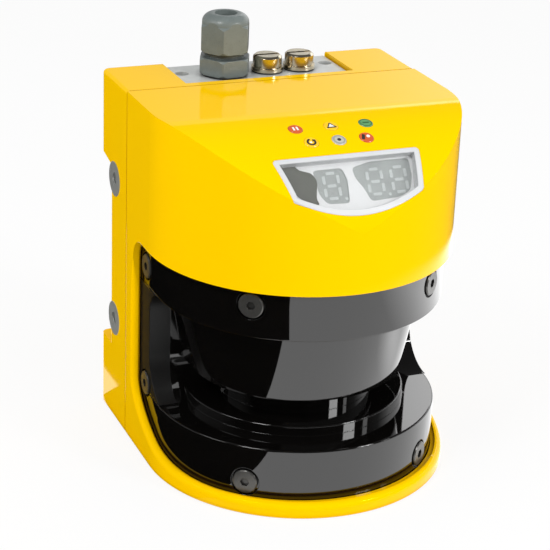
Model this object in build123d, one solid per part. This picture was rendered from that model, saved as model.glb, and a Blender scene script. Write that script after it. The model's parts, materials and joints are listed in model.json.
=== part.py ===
from build123d import *
import os
from math import cos, sin, radians, sqrt, hypot

# Safety laser scanner: a yellow housing of two shells round a black optics cover and a spinning mirror.
# Millimetres, +Z up, front towards -Y. The origin is the middle of the footprint at the base, and the
# mirror turns about the Z axis through it.

# Housing, overall
housing_width = 155.0
housing_depth = 160.0
housing_height = 185.0
shell_wall = 4.4
floor_thickness = 3.0
lip_width = 3.4            # proud outer lip round the optics opening
lip_depth = 1.2
lip_radius = 3.2           # its rounded outer edge
edge_radius = 1.6          # cast outer edges of the rear shell
rear_corner_radius = 4.0

# Seam between the two shells
seam_y = 38.0
seam_gap = 0.8
seal_inset = 1.2
seal_width = 3.0

# Hood and brow of the front shell
rim_offset = 2.5           # centre of the base rim's half round, in front of the mirror's axis
hood_set_back = 5.0        # how far the hood's front lies behind the base rim's
hood_bottom = 114.0
brow_start_inset = 61.0    # where the flat top ends, behind the hood's front
brow_middle_inset = 25.0
brow_middle_drop = 10.0    # below the flat top
brow_end_drop = 33.0
brow_radius = 25.0

# Opening of the front shell round the optics cover
opening_rear_y = 27.0
opening_top_radius = 12.0
opening_sweep_length = 77.0  # the side strips run into the base rim on a long ellipse
opening_sweep_height = 30.0
rim_height = 7.4
lip_fade_low = 84.0        # the lip's rounding fades out between these heights
lip_fade_high = 101.0

# Display and signal lamps on the brow
window_top_inset = 24.5    # behind the hood's front
window_bottom_inset = 1.0
window_half_top = 37.3
window_half_low = 32.6
window_low_share = 0.285   # height of the lower corners, as a share of the window's height
window_corner_radius = 2.0
bezel_width = 2.6
bezel_depth = 5.0
window_thickness = 2.0
window_sink = 0.5
lamp_radius = 3.5
lamp_row_insets = (42.8, 32.6)
lamp_row_xs = ((-18.0, 0.0, 18.0), (-14.0, 0.0, 14.0))
lamp_sink = 0.3            # how far a lamp stands proud of the brow
board_depth = 14.0         # display board below the window's chord
board_half_width = 31.5
board_low = -12.0
board_high = 31.0
board_thickness = 1.6
display_boss_radius = 2.5
display_boss_places = ((-28.5, -11.0), (28.5, -11.0), (-27.5, 27.5), (27.5, 27.5))
digit_width = 12.5
digit_height = 19.0
digit_pitch = 13.2
digit_depth = 8.0

# Optics cover
cover_gap = 0.4
cover_wall = 2.8
cover_bottom = 4.0
flange_top = 32.4
step_inset = 16.1          # radii of the moulding, in from the flange
step_top = 37.6
waist_inset = 31.7
cone_low_inset = 18.0
cone_low_z = 50.0
cone_high_inset = 10.7
collar_bottom = 90.0
collar_gap = 0.4           # between the collar's shoulder and the hood
spigot_height = 5.0
upper_seal_width = 2.0
upper_seal_height = 3.0
cover_rear_y = 30.0
web_front_y = 14.0
web_sweep = 22.0
web_top_radius = 12.0
moulded_radius = 0.8

# Screws of the optics cover
cover_screw_angle = 40.0
cover_screw_rear_y = 19.0
cover_screw_rear_low_z = 36.0
cover_screw_rear_high_z = 100.0
screw_pocket_radius = 7.2
screw_pocket_depth = 1.3
screw_head_radius = 6.2
screw_head_height = 2.0
screw_socket_radius = 2.3
screw_socket_depth = 1.2
screw_shank_radius = 2.0
screw_shank_length = 9.5
screw_hole_clearance = 0.1
screw_hole_radius = screw_shank_radius + screw_hole_clearance
frame_head_radius = 3.5
frame_head_height = 2.4
frame_screw_length = 13.0

# Scan frame inside
frame_gap = 0.5            # between the frame's plates and the cover's inside
frame_low_z = 9.5
frame_plate = 8.0
frame_back_gap = 0.4
frame_back_thickness = 4.0
frame_back_drop = 21.0     # top of its back plate below the housing's top
frame_ear_width = 11.0
lens_bore_radius = 24.0
lens_seat_radius = 22.0
lens_seat_height = 2.0

# Motor and mirror
shaft_radius = 2.95
shaft_clearance = 0.05
bearing_radius = 8.0
bearing_width = 5.0
motor_flange_radius = 28.0
motor_flange_thickness = 2.5
motor_tube_wall = 1.5
motor_tube_height = 12.0
stator_radius = 19.0
stator_height = 8.0
stator_teeth = 9
stator_tooth_width = 3.0
rotor_gap = 0.5
magnet_thickness = 1.5
rotor_wall = 2.0
rotor_height = 13.5
rotor_hub_radius = 6.0
rotor_hub_height = 3.5
encoder_radius = 28.5
encoder_thickness = 1.0
encoder_slots = 24
carrier_radius = 21.0
carrier_wall = 2.5
carrier_gap = 0.3
mirror_centre_z = 63.0
mirror_radius = 19.5
mirror_thickness = 3.0

# Receiver and laser
lens_edge = 2.5
lens_crown = 3.5
laser_radius = 6.3
laser_low_z = 96.0
laser_length = 28.0
laser_hole_gap = 0.2
spider_thickness = 3.0
spider_outer_radius = 29.0
receiver_tube_height = 32.0
receiver_top_radius = 17.0
receiver_wall = 2.0

# Rear shell
notch_depth = 18.0
notch_width = 12.0
notch_low_z = 40.0
notch_high_drop = 42.4
notch_slant = 3.6
insert_radius = 9.0
insert_inset = 22.0        # from the back
insert_low_z = 56.0
insert_high_drop = 52.0
insert_length = 16.0
side_thread_radius = 3.4   # core of an M8 thread
side_thread_depth = 9.0
rear_thread_radius = 2.5   # core of an M6 thread
rear_thread_depth = 8.0
rear_boss_radius = 7.0
rear_boss_depth = 12.0
rear_thread_x = 40.0
rear_thread_low_z = 50.0
rear_thread_high_drop = 65.0
pillar_radius = 5.0
pillar_inset = 15.5        # from the housing's side
pillar_low_z = 22.0
pillar_high_drop = 29.0
thread_hole_radius = 2.05

# Screws that join the two shells
housing_screw_low_inset = 32.5   # from the housing's side
housing_screw_low_z = 6.1
housing_screw_high_inset = 15.5
housing_screw_high_drop = 13.0
housing_screw_radius = 2.0
housing_head_radius = 3.6
housing_head_height = 4.0
housing_boss_radius = 5.5
housing_boss_length = 17.0
counterbore_depth = 5.0

# System plug on top
recess_half_width = 45.4
recess_length = 37.0
recess_depth = 35.4
plug_gap = 0.4
plug_sink = 2.0
plug_wall = 3.0
plug_top_thickness = 5.0
plug_seal_height = 0.8
plug_screw_x = 39.5
plug_screw_inset = 14.0    # from the back
plug_screw_head_radius = 3.4
plug_screw_radius = 2.0
header_half_width = 25.0
header_front_inset = 27.0
header_rear_inset = 11.0
pin_count = 12
pin_pitch = 3.6
pin_width = 1.0
pin_length = 9.0
socket_height = 8.0

# Cable gland
gland_x = -18.4
gland_inset = 19.0         # from the back
gland_flats = 24.4
gland_nut_flats = 23.4
gland_corner_angle = -24.0
gland_thread_radius = 10.0
gland_thread_length = 11.0
gland_washer_height = 1.0
gland_hex_height = 8.6
gland_neck_radius = 10.2
gland_neck_height = 2.8
gland_nut_height = 19.2
gland_dome_height = 5.0
gland_mouth_radius = 5.8
gland_bore_radius = 7.0
gland_collar_height = 9.0
gland_fit = 0.15
cable_radius = 5.0
seal_length = 13.0

# Blanking plugs
blank_xs = (4.6, 22.2)
blank_inset = 20.0         # from the back
blank_flange_radius = 8.2
blank_flange_height = 2.0
blank_head_radius = 7.4
blank_head_height = 6.0
blank_slot_width = 2.0
blank_slot_depth = 2.0
blank_thread_radius = 7.0
blank_thread_length = 8.0
blank_seal_height = 0.8

# Circuit boards
main_board_y = 46.0
main_board_half_width = 50.0
main_board_low_z = 20.0
main_board_high_drop = 51.0
standoff_radius = 3.0
standoff_edge = (4.0, 6.0)  # from the board's side and from its ends
chips = ((-22.0, 60.0, 24.0, 24.0, 3.0), (18.0, 66.0, 16.0, 16.0, 2.4), (20.0, 100.0, 22.0, 14.0, 3.0),
         (-26.0, 104.0, 14.0, 20.0, 4.0), (0.0, 34.0, 40.0, 9.0, 9.0), (34.0, 46.0, 9.0, 9.0, 11.0),
         (-38.0, 34.0, 9.0, 9.0, 11.0))    # place across and up, width, height and thickness
interface_half_width = 47.0
interface_margin = 2.5
post_radius = 2.6
front_post_x = 44.0
rear_post_x = 30.0
front_post_inset = 30.0    # from the back
rear_post_inset = 11.0

# Worked out from the sizes above
half_width = housing_width / 2
rim_centre_y = -rim_offset
back_y = housing_depth - half_width - rim_offset
hood_centre_y = rim_centre_y + hood_set_back
hood_front_y = hood_centre_y - half_width
brow_start_y = hood_front_y + brow_start_inset
brow_middle_y = hood_front_y + brow_middle_inset
window_top_y = hood_front_y + window_top_inset
window_bottom_y = hood_front_y + window_bottom_inset
lamp_rows = [(hood_front_y + inset, xs) for inset, xs in zip(lamp_row_insets, lamp_row_xs)]
inner_half_width = half_width - shell_wall
front_rear_y = seam_y - seam_gap / 2
rear_front_y = seam_y + seam_gap / 2
cover_radius = inner_half_width - cover_gap
collar_top = hood_bottom - collar_gap
spigot_radius = inner_half_width - hood_centre_y - upper_seal_width
frame_radius = cover_radius - cover_wall - frame_gap
step_radius = cover_radius - step_inset
waist_radius = cover_radius - waist_inset
cone_low_radius = cover_radius - cone_low_inset
cone_high_radius = cover_radius - cone_high_inset
frame_back_y = cover_rear_y + frame_back_gap
frame_rear_y = frame_back_y + frame_back_thickness
top_plate_z = collar_top - cover_wall - frame_gap
motor_z = frame_low_z + frame_plate
frame_back_top = housing_height - frame_back_drop
tub_floor_z = housing_height - recess_depth
notch_high_z = housing_height - notch_high_drop
insert_y = back_y - insert_inset
insert_high_z = housing_height - insert_high_drop
rear_thread_high_z = housing_height - rear_thread_high_drop
pillar_x = half_width - pillar_inset
pillar_high_z = housing_height - pillar_high_drop
housing_screw_low = (half_width - housing_screw_low_inset, housing_screw_low_z)
housing_screw_high = (half_width - housing_screw_high_inset, housing_height - housing_screw_high_drop)
recess_front_y = back_y - recess_length
plug_screw_y = back_y - plug_screw_inset
header_front_y = back_y - header_front_inset
header_rear_y = back_y - header_rear_inset
gland_y = back_y - gland_inset
blank_places = [(x, back_y - blank_inset) for x in blank_xs]
main_board_high_z = housing_height - main_board_high_drop
standoff_places = [(side * (main_board_half_width - standoff_edge[0]), z) for side in (-1, 1)
                   for z in (main_board_low_z + standoff_edge[1], main_board_high_z - standoff_edge[1])]
plug_top_z = housing_height - plug_sink
plug_low_z = tub_floor_z + plug_seal_height


def d_block(radius, centre_y, rear_y, low_z, high_z):
    """Block with a half round front and straight sides back to rear_y."""
    with BuildPart() as block:
        with BuildSketch(Plane.XY.offset(low_z)):
            with BuildLine():
                ThreePointArc((-radius, centre_y), (0, centre_y - radius), (radius, centre_y))
                Polyline((radius, centre_y), (radius, rear_y), (-radius, rear_y), (-radius, centre_y))
            make_face()
        extrude(amount=high_z - low_z)
    return block.part


def box_between(low, high):
    """Box from its lowest to its highest corner."""
    size = [b - a for a, b in zip(low, high)]
    middle = [(a + b) / 2 for a, b in zip(low, high)]
    return Pos(*middle) * Box(*size)


def rod(radius, start, direction, length):
    """Round rod from a point along a direction."""
    plane = Plane(origin=start, z_dir=direction)
    return plane * Cylinder(radius, length, align=(Align.CENTER, Align.CENTER, Align.MIN))


def tube(outer, inner, low_z, high_z, x=0.0, y=0.0):
    """Upright tube."""
    height = high_z - low_z
    bottom = (Align.CENTER, Align.CENTER, Align.MIN)
    ring = Cylinder(outer, height, align=bottom) - Cylinder(inner, height, align=bottom)
    return Pos(x, y, low_z) * ring


def disc(radius, low_z, high_z, x=0.0, y=0.0):
    """Upright solid disc."""
    bottom = (Align.CENTER, Align.CENTER, Align.MIN)
    return Pos(x, y, low_z) * Cylinder(radius, high_z - low_z, align=bottom)


def turned(points):
    """Solid of revolution about Z from radius and height pairs."""
    with BuildPart() as part:
        with BuildSketch(Plane.XZ):
            with BuildLine():
                Polyline(*points, close=True)
            make_face()
        revolve(axis=Axis.Z)
    return part.part


def mirrored(shape):
    """The shape and its mirror image across the YZ plane."""
    return [shape, mirror(shape, about=Plane.YZ)]


# Brow: the rounded profile between the flat top and the upright front

def circle_through(a, b, c):
    """Centre and radius of the circle through three points."""
    ax, ay, bx, by, cx, cy = *a, *b, *c
    d = 2 * (ax * (by - cy) + bx * (cy - ay) + cx * (ay - by))
    aa, bb, cc = ax * ax + ay * ay, bx * bx + by * by, cx * cx + cy * cy
    x = (aa * (by - cy) + bb * (cy - ay) + cc * (ay - by)) / d
    y = (aa * (cx - bx) + bb * (ax - cx) + cc * (bx - ax)) / d
    return x, y, hypot(ax - x, ay - y)


brow_points = ((brow_start_y, housing_height), (brow_middle_y, housing_height - brow_middle_drop),
               (hood_front_y, housing_height - brow_end_drop))
brow_y, brow_z, brow_arc_radius = circle_through(*brow_points)


def brow_height(y):
    """Height of the brow's surface at a depth."""
    return brow_z + sqrt(brow_arc_radius ** 2 - (y - brow_y) ** 2)


def hood_block(inset):
    """The hood's outer form, or the same form moved inwards all round."""
    with BuildPart() as side:
        with BuildSketch(Plane.YZ) as profile:
            with BuildLine():
                ThreePointArc(*brow_points)
                Polyline(brow_points[2], (hood_front_y, 0), (back_y, 0),
                         (back_y, housing_height), brow_points[0])
            make_face()
            corner = profile.vertices().sort_by_distance((*brow_points[2], 0))[0]
            fillet(corner, brow_radius)
            if inset:
                offset(amount=-inset, kind=Kind.INTERSECTION)
        extrude(amount=housing_width, both=True)
    plan = d_block(half_width - inset, hood_centre_y, front_rear_y, hood_bottom, housing_height)
    return plan & side.part


# Window plane: lies along the chord of the brow behind the display
window_top = (window_top_y, brow_height(window_top_y))
window_bottom = (window_bottom_y, brow_height(window_bottom_y))
window_rise = (window_top[0] - window_bottom[0], window_top[1] - window_bottom[1])
window_height = hypot(*window_rise)
window_normal = (0, -window_rise[1] / window_height, window_rise[0] / window_height)
window_middle = (0, (window_top[0] + window_bottom[0]) / 2, (window_top[1] + window_bottom[1]) / 2)
window_plane = Plane(origin=window_middle, x_dir=(1, 0, 0), z_dir=window_normal)


def window_prism(inset, depth):
    """Prism of the display's outline, from well above the brow down to a depth."""
    above = 12.0
    low_v = -window_height / 2 + window_low_share * window_height
    with BuildPart() as prism:
        with BuildSketch(window_plane.offset(above)) as outline:
            with BuildLine():
                Polyline((-window_half_low, low_v), (-window_half_top, window_height / 2),
                         (window_half_top, window_height / 2), (window_half_low, low_v))
                ThreePointArc((window_half_low, low_v), (0, -window_height / 2), (-window_half_low, low_v))
            make_face()
            fillet(outline.vertices(), window_corner_radius)
            if inset:
                offset(amount=-inset, kind=Kind.INTERSECTION)
        extrude(amount=-above - depth)
    return prism.part


def lamp_axis(x, y):
    """Point on the brow and the outward direction there."""
    z = brow_height(y)
    return (x, y, z), (0, (y - brow_y) / brow_arc_radius, (z - brow_z) / brow_arc_radius)


def lamp_places():
    """Every signal lamp as its point and direction."""
    return [lamp_axis(x, y) for y, row in lamp_rows for x in row]


# Front shell

def opening_block(back):
    """Space cut for the optics cover, moved back and down by a step."""
    rear_y = opening_rear_y + back
    low_z = rim_height - back
    centre = (rear_y - opening_sweep_length, low_z + opening_sweep_height)
    front_y = -housing_depth
    with BuildPart() as block:
        with BuildSketch(Plane.YZ) as side:
            with BuildLine():
                EllipticalCenterArc(centre, opening_sweep_length, opening_sweep_height,
                                    start_angle=270, arc_size=90)
                Polyline((rear_y, centre[1]), (rear_y, hood_bottom), (front_y, hood_bottom),
                         (front_y, low_z), (centre[0], low_z))
            make_face()
            high = side.vertices().sort_by_distance((rear_y, hood_bottom, 0))[0]
            fillet(high, opening_top_radius)
        extrude(amount=housing_width, both=True)
    return block.part


def strip_section(z, side, radius):
    """Section of a side strip with its outer front corner rounded."""
    inner_x = side * (inner_half_width - 1)
    with BuildSketch(Plane.XY.offset(z)) as section:
        with BuildLine():
            Polyline((side * half_width, opening_rear_y), (side * half_width, front_rear_y),
                     (inner_x, front_rear_y), (inner_x, opening_rear_y), close=True)
        make_face()
        corner = section.vertices().sort_by_distance((side * half_width, opening_rear_y, 0))[0]
        fillet(corner, radius)
    return section.sketch


def on_lip(edge):
    """True for an edge where the opening meets the shell's outer face."""
    middle = edge.position_at(0.5)
    box = edge.bounding_box()
    if middle.Y > rim_centre_y:
        outside = abs(abs(middle.X) - half_width) < 0.01
    else:
        outside = abs(hypot(middle.X, middle.Y - rim_centre_y) - half_width) < 0.01
    inside_heights = box.min.Z > 1 and middle.Z < lip_fade_low - 1
    tangent_line = box.size.Y < 0.01 and abs(middle.Y - rim_centre_y) < 0.01
    return outside and inside_heights and not tangent_line and middle.Y < front_rear_y - 1


def lower_frame():
    """Side strips and base rim, with the rounded lip that fades out under the hood."""
    low = d_block(half_width, rim_centre_y, front_rear_y, 0, lip_fade_low) - opening_block(0)
    low = fillet(low.edges().filter_by(on_lip), lip_radius)
    for side in (-1, 1):
        sections = [strip_section(lip_fade_low, side, lip_radius), strip_section(lip_fade_high, side, 0.3)]
        low = low + loft(sections, ruled=True)
    top = d_block(half_width, rim_centre_y, front_rear_y, lip_fade_high, hood_bottom) - opening_block(0)
    return low + top


def make_front_housing():
    """Yellow front shell: hood, side strips and base rim in one casting."""
    shell = hood_block(0) + lower_frame()
    lip_inside = d_block(half_width - lip_width, rim_centre_y, front_rear_y + 1, 0, hood_bottom)
    shell = shell - (opening_block(lip_depth) & lip_inside)
    cavity = d_block(inner_half_width, 0, front_rear_y + 1, floor_thickness, hood_bottom)
    shell = shell - cavity - hood_inside()
    for x, z in (housing_screw_low, housing_screw_high):
        for side in (-1, 1):
            shell = shell + front_boss(side * x, z)
    for place in display_boss_places:
        shell = shell + display_boss(place)
    for x, z in (housing_screw_low, housing_screw_high):
        for side in (-1, 1):
            start = (side * x, front_rear_y + 1, z)
            shell = shell - rod(thread_hole_radius, start, (0, -1, 0), housing_boss_length - 1)
    shell = shell - window_prism(-cover_gap / 4, bezel_depth + shell_wall)
    for point, direction in lamp_places():
        start = along(point, direction, -2 * shell_wall)
        shell = shell - rod(lamp_radius + cover_gap / 4, start, direction, 4 * shell_wall)
    return shell


def hood_inside():
    """Hollow of the hood, open below."""
    upper = hood_block(shell_wall)
    mouth = d_block(inner_half_width, hood_centre_y, front_rear_y + 1, hood_bottom - 1, hood_bottom + 8)
    behind = hood_block(shell_wall).bounding_box()
    slot = box_between((-inner_half_width, front_rear_y - shell_wall - 1, hood_bottom),
                       (inner_half_width, front_rear_y + 1, behind.max.Z))
    return upper + mouth + slot


def front_boss(x, z):
    """Boss that a shell screw bites into."""
    boss = rod(housing_boss_radius, (x, front_rear_y, z), (0, -1, 0), housing_boss_length)
    if z < hood_bottom:
        width = housing_boss_radius
        foot = box_between((x - width, front_rear_y - housing_boss_length, 1), (x + width, front_rear_y, z))
        limit = box_between((-half_width, -half_width - rim_offset, 1), (half_width, back_y, frame_low_z - cover_gap))
        return (boss + foot) & limit
    width = housing_boss_radius
    roof = box_between((x - width, front_rear_y - housing_boss_length, z),
                       (x + width, front_rear_y, housing_height))
    return (boss + roof) & hood_block(1)


def display_boss(place):
    """Boss under the brow that carries the display board."""
    u, v = place
    seat = window_plane.offset(-board_depth + board_thickness) * Pos(u, v, 0)
    post = seat * Cylinder(display_boss_radius, 40, align=(Align.CENTER, Align.CENTER, Align.MIN))
    return post & hood_block(1)


# Rear shell

def notch_block(side, grow):
    """Cut at a rear side edge of the rear shell, or that space grown inwards by a wall."""
    outer_x = side * (half_width + 5)
    inner_x = side * (half_width - notch_width - grow)
    front_y = back_y - notch_depth - grow
    with BuildPart() as block:
        with BuildSketch(Plane.YZ.offset(inner_x)):
            with BuildLine():
                Polyline((front_y, notch_low_z - grow), (back_y + 5, notch_low_z - grow),
                         (back_y + 5, notch_high_z + grow), (back_y, notch_high_z + grow),
                         (front_y, notch_high_z - notch_slant + grow), close=True)
            make_face()
        extrude(amount=outer_x - inner_x)
    return block.part


def inserts():
    """The four threaded inserts in the sides, each as place, side and height."""
    return [(side, z) for side in (-1, 1) for z in (insert_low_z, insert_high_z)]


def side_insert(side, z):
    """Round metal insert with a blind thread that opens sideways."""
    face = (side * half_width, insert_y, z)
    inward = (-side, 0, 0)
    body = rod(insert_radius, face, inward, insert_length)
    return body - rod(side_thread_radius, face, inward, side_thread_depth)


def make_rear_housing():
    """Yellow rear shell with its notches, the tub for the plug and the pillars inside."""
    shell = box_between((-half_width, rear_front_y, 0), (half_width, back_y, housing_height))
    upright = shell.edges().filter_by(Axis.Z).group_by(Axis.Y)[-1]
    shell = fillet(upright, rear_corner_radius)
    top = shell.edges().group_by(Axis.Z)[-1]
    shell = fillet(top.filter_by(lambda e: e.bounding_box().min.Y > rear_front_y + 1), edge_radius)
    for side in (-1, 1):
        shell = shell - notch_block(side, 0)
    hollow = box_between((-inner_half_width, rear_front_y - 1, shell_wall),
                         (inner_half_width, back_y - shell_wall, housing_height - shell_wall))
    for side in (-1, 1):
        hollow = hollow - notch_block(side, shell_wall)
    tub_wall = plug_wall
    tub_half = recess_half_width + tub_wall
    hollow = hollow - box_between((-tub_half, recess_front_y - tub_wall, tub_floor_z - tub_wall),
                                  (tub_half, back_y, housing_height))
    shell = shell - hollow
    shell = shell - box_between((-recess_half_width, recess_front_y, tub_floor_z),
                                (recess_half_width, back_y + 1, housing_height + 1))
    shell = shell - box_between((-header_half_width - 2, header_front_y - 2, tub_floor_z - tub_wall - 1),
                                (header_half_width + 2, header_rear_y + 2, tub_floor_z + 1))
    for side, z in inserts():
        seat = rod(insert_radius + 3, (side * (half_width - 1), insert_y, z), (-side, 0, 0), insert_length)
        shell = shell + (seat & insert_seat_space(side))
    for side, z in inserts():
        shell = shell - rod(insert_radius + 0.05, (side * (half_width + 1), insert_y, z), (-side, 0, 0),
                            insert_length + 1.1)
    for x in (-pillar_x, pillar_x):
        for z in (pillar_low_z, pillar_high_z):
            pillar = rod(pillar_radius, (x, back_y - 1, z), (0, -1, 0), back_y - 1 - frame_rear_y)
            hole = rod(thread_hole_radius, (x, frame_rear_y - 1, z), (0, 1, 0), 12)
            shell = shell + pillar - hole
    for x in (-rear_thread_x, rear_thread_x):
        for z in (rear_thread_low_z, rear_thread_high_z):
            boss = rod(rear_boss_radius, (x, back_y - 1, z), (0, -1, 0), rear_boss_depth)
            hole = rod(rear_thread_radius, (x, back_y + 1, z), (0, -1, 0), rear_thread_depth + 1)
            shell = shell + boss - hole
    for x, z in (housing_screw_low, housing_screw_high):
        for side in (-1, 1):
            shell = shell + screw_tunnel(side * x, z)
            length = housing_depth
            shell = shell - rod(housing_screw_radius + screw_hole_clearance, (side * x, back_y + 1, z),
                                (0, -1, 0), length)
            shell = shell - rod(housing_head_radius + 0.2, (side * x, back_y + 1, z), (0, -1, 0),
                                counterbore_depth + 1)
    for side in (-1, 1):
        x = side * plug_screw_x
        shell = shell + (disc(plug_screw_radius + 2.5, tub_floor_z - 10, tub_floor_z - 1, x, plug_screw_y)
                         - disc(thread_hole_radius, tub_floor_z - 11, tub_floor_z, x, plug_screw_y))
        shell = shell - disc(thread_hole_radius, tub_floor_z - 11, tub_floor_z + 1, x, plug_screw_y)
    return shell


def insert_seat_space(side):
    """Part of the rear shell's inside where the casting may grip an insert."""
    low, high = sorted((side * (half_width - insert_length - 2), side * (half_width - 0.5)))
    return box_between((low, rear_front_y, 0), (high, back_y - notch_depth, housing_height))


def screw_tunnel(x, z):
    """Tube through the rear shell round a long shell screw."""
    tunnel = rod(housing_boss_radius, (x, back_y - 1, z), (0, -1, 0), back_y - 1 - rear_front_y)
    return tunnel & box_between((-half_width, 0, 1), (half_width, back_y, housing_height - 1))


def make_housing_seal():
    """Flat seal between the shells, set back from their outer faces."""
    def ring(inset):
        return box_between((-half_width + inset, front_rear_y, inset),
                           (half_width - inset, rear_front_y, housing_height - inset))
    inner = box_between((-half_width + seal_inset + seal_width, front_rear_y - 1, floor_thickness - 0.2),
                        (half_width - seal_inset - seal_width, rear_front_y + 1,
                         housing_height - seal_inset - seal_width))
    return ring(seal_inset) - inner


def make_housing_screws():
    """Four long screws from the back that join the shells."""
    screws = []
    for x, z in (housing_screw_low, housing_screw_high):
        seat_y = back_y - counterbore_depth
        length = seat_y - front_rear_y + housing_boss_length - 4
        for side in (-1, 1):
            head = rod(housing_head_radius, (side * x, seat_y, z), (0, 1, 0), housing_head_height)
            socket = window_hexagon(side * x, seat_y + housing_head_height, z, 1.8, 2.0)
            shank = rod(housing_screw_radius, (side * x, seat_y, z), (0, -1, 0), length)
            screws.append(head - socket + shank)
    return Compound(screws)


def window_hexagon(x, y, z, radius, depth):
    """Hexagon socket that opens to the rear."""
    plane = Plane(origin=(x, y, z), z_dir=(0, 1, 0))
    return plane * extrude(RegularPolygon(radius, 6), amount=-depth)


def make_side_inserts():
    """Four threaded inserts for side mounting."""
    return Compound([side_insert(side, z) for side, z in inserts()])


# Optics cover

def cover_section():
    """Wall of the optics cover as a closed outline of radius and height."""
    t = cover_wall
    outer = [(cover_radius, cover_bottom), (cover_radius, flange_top), (step_radius, flange_top),
             (step_radius, step_top), (waist_radius, step_top), (waist_radius, cone_low_z),
             (cone_low_radius, cone_low_z), (cone_high_radius, collar_bottom),
             (cover_radius, collar_bottom), (cover_radius, collar_top), (spigot_radius, collar_top),
             (spigot_radius, collar_top + spigot_height)]
    inner = [(spigot_radius - t, collar_top + spigot_height), (spigot_radius - t, collar_top - t),
             (cover_radius - t, collar_top - t), (cover_radius - t, collar_bottom + t),
             (cone_high_radius - t, collar_bottom + t), (cone_low_radius - t, cone_low_z + t),
             (waist_radius - t, cone_low_z + t), (waist_radius - t, step_top - t),
             (step_radius - t, step_top - t), (step_radius - t, flange_top - t),
             (cover_radius - t, flange_top - t), (cover_radius - t, cover_bottom)]
    rounded = [(cover_radius, flange_top), (step_radius, step_top), (cone_low_radius, cone_low_z),
               (cover_radius, collar_bottom)]
    return outer + inner, rounded


def section_face(side):
    """The section drawn on the XZ plane, to the left or right of the axis."""
    points, rounded = cover_section()
    with BuildSketch(Plane.XZ) as face:
        with BuildLine():
            Polyline(*[(side * r, z) for r, z in points], close=True)
        make_face()
        corners = [face.vertices().sort_by_distance((side * r, z, 0))[0] for r, z in rounded]
        fillet(corners, moulded_radius)
    return face.sketch


def web_face(inset):
    """Side web of the cover: it sweeps up from the flange to the collar, seen from the side."""
    low = flange_top - inset
    high = collar_bottom + inset
    front = web_front_y + inset
    low_sweep = web_sweep + inset
    top_sweep = web_top_radius + inset
    with BuildSketch(Plane.YZ) as face:
        with BuildLine():
            Polyline((cover_rear_y, high), (cover_rear_y, low), (front - low_sweep, low))
            RadiusArc((front - low_sweep, low), (front, low + low_sweep), -low_sweep)
            Line((front, low + low_sweep), (front, high - top_sweep))
            RadiusArc((front, high - top_sweep), (front - top_sweep, high), -top_sweep)
            Line((front - top_sweep, high), (cover_rear_y, high))
        make_face()
    return face.sketch


def cover_web(side, inset):
    """Solid form of one web, or its hollow."""
    start = side * (waist_radius - cover_wall if inset else waist_radius)
    end = side * (cover_radius - inset)
    face = Pos(start, 0, 0) * web_face(inset)
    return extrude(face, amount=abs(end - start), dir=(side, 0, 0))


def cover_screw_axes():
    """Each screw of the optics cover: point on the cover's surface and the outward direction."""
    axes = []
    for z in (top_plate_z - frame_plate / 2, frame_low_z + frame_plate / 2):
        for side in (-1, 1):
            angle = radians(cover_screw_angle) * side
            direction = (sin(angle), -cos(angle), 0)
            axes.append((tuple(cover_radius * d for d in direction[:2]) + (z,), direction))
    for z in (cover_screw_rear_low_z, cover_screw_rear_high_z):
        for side in (-1, 1):
            axes.append(((side * cover_radius, cover_screw_rear_y, z), (side, 0, 0)))
    return axes


def along(point, direction, distance):
    """Point moved along a direction."""
    return tuple(p + d * distance for p, d in zip(point, direction))


def make_optics_cover():
    """Glossy black moulding: flange, stepped waist, cone and collar, with swept side webs."""
    left = section_face(-1)
    cover = revolve(left, axis=Axis.Z, revolution_arc=180)
    for side in (-1, 1):
        cover = cover + extrude(section_face(side), amount=cover_rear_y, dir=(0, 1, 0))
    for side in (-1, 1):
        cover = cover + cover_web(side, 0)
    for side in (-1, 1):
        cover = cover - cover_web(side, cover_wall)
    for point, direction in cover_screw_axes():
        floor = along(point, direction, -screw_pocket_depth)
        cover = cover - rod(screw_pocket_radius, floor, direction, screw_pocket_depth + 5)
        start = along(point, direction, -8)
        cover = cover - rod(screw_hole_radius, start, direction, 10)
    return cover


def make_cover_screws():
    """Eight round headed screws that hold the optics cover to the scan frame."""
    screws = []
    for point, direction in cover_screw_axes():
        seat = along(point, direction, -screw_pocket_depth)
        head = rod(screw_head_radius, seat, direction, screw_head_height)
        head = chamfer(head.edges().sort_by(lambda e: distance_along(e, direction))[-1], 0.5)
        top = Plane(origin=along(seat, direction, screw_head_height), z_dir=direction)
        socket = top * extrude(RegularPolygon(screw_socket_radius, 6), amount=-screw_socket_depth)
        shank = rod(screw_shank_radius, along(seat, direction, -screw_shank_length), direction,
                    screw_shank_length)
        screws.append(head - socket + shank)
    return Compound(screws)


def distance_along(edge, direction):
    """How far an edge's middle lies along a direction."""
    middle = edge.center()
    return middle.X * direction[0] + middle.Y * direction[1] + middle.Z * direction[2]


def make_upper_seal():
    """Moulded seal between the cover's spigot and the hood."""
    low = collar_top + 1.2
    high = low + upper_seal_height
    outside = d_block(inner_half_width - 0.1, hood_centre_y, cover_rear_y, low, high)
    inside = d_block(spigot_radius + 0.1, 0, cover_rear_y + 1, low - 1, high + 1)
    return outside - inside


def make_lower_seal():
    """Flat seal between the cover's foot and the front shell's floor."""
    outside = d_block(cover_radius - 0.2, 0, cover_rear_y, floor_thickness, cover_bottom)
    inside = d_block(cover_radius - cover_wall, 0, cover_rear_y + 1, floor_thickness - 1, cover_bottom + 1)
    return outside - inside


# Scan frame

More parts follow.
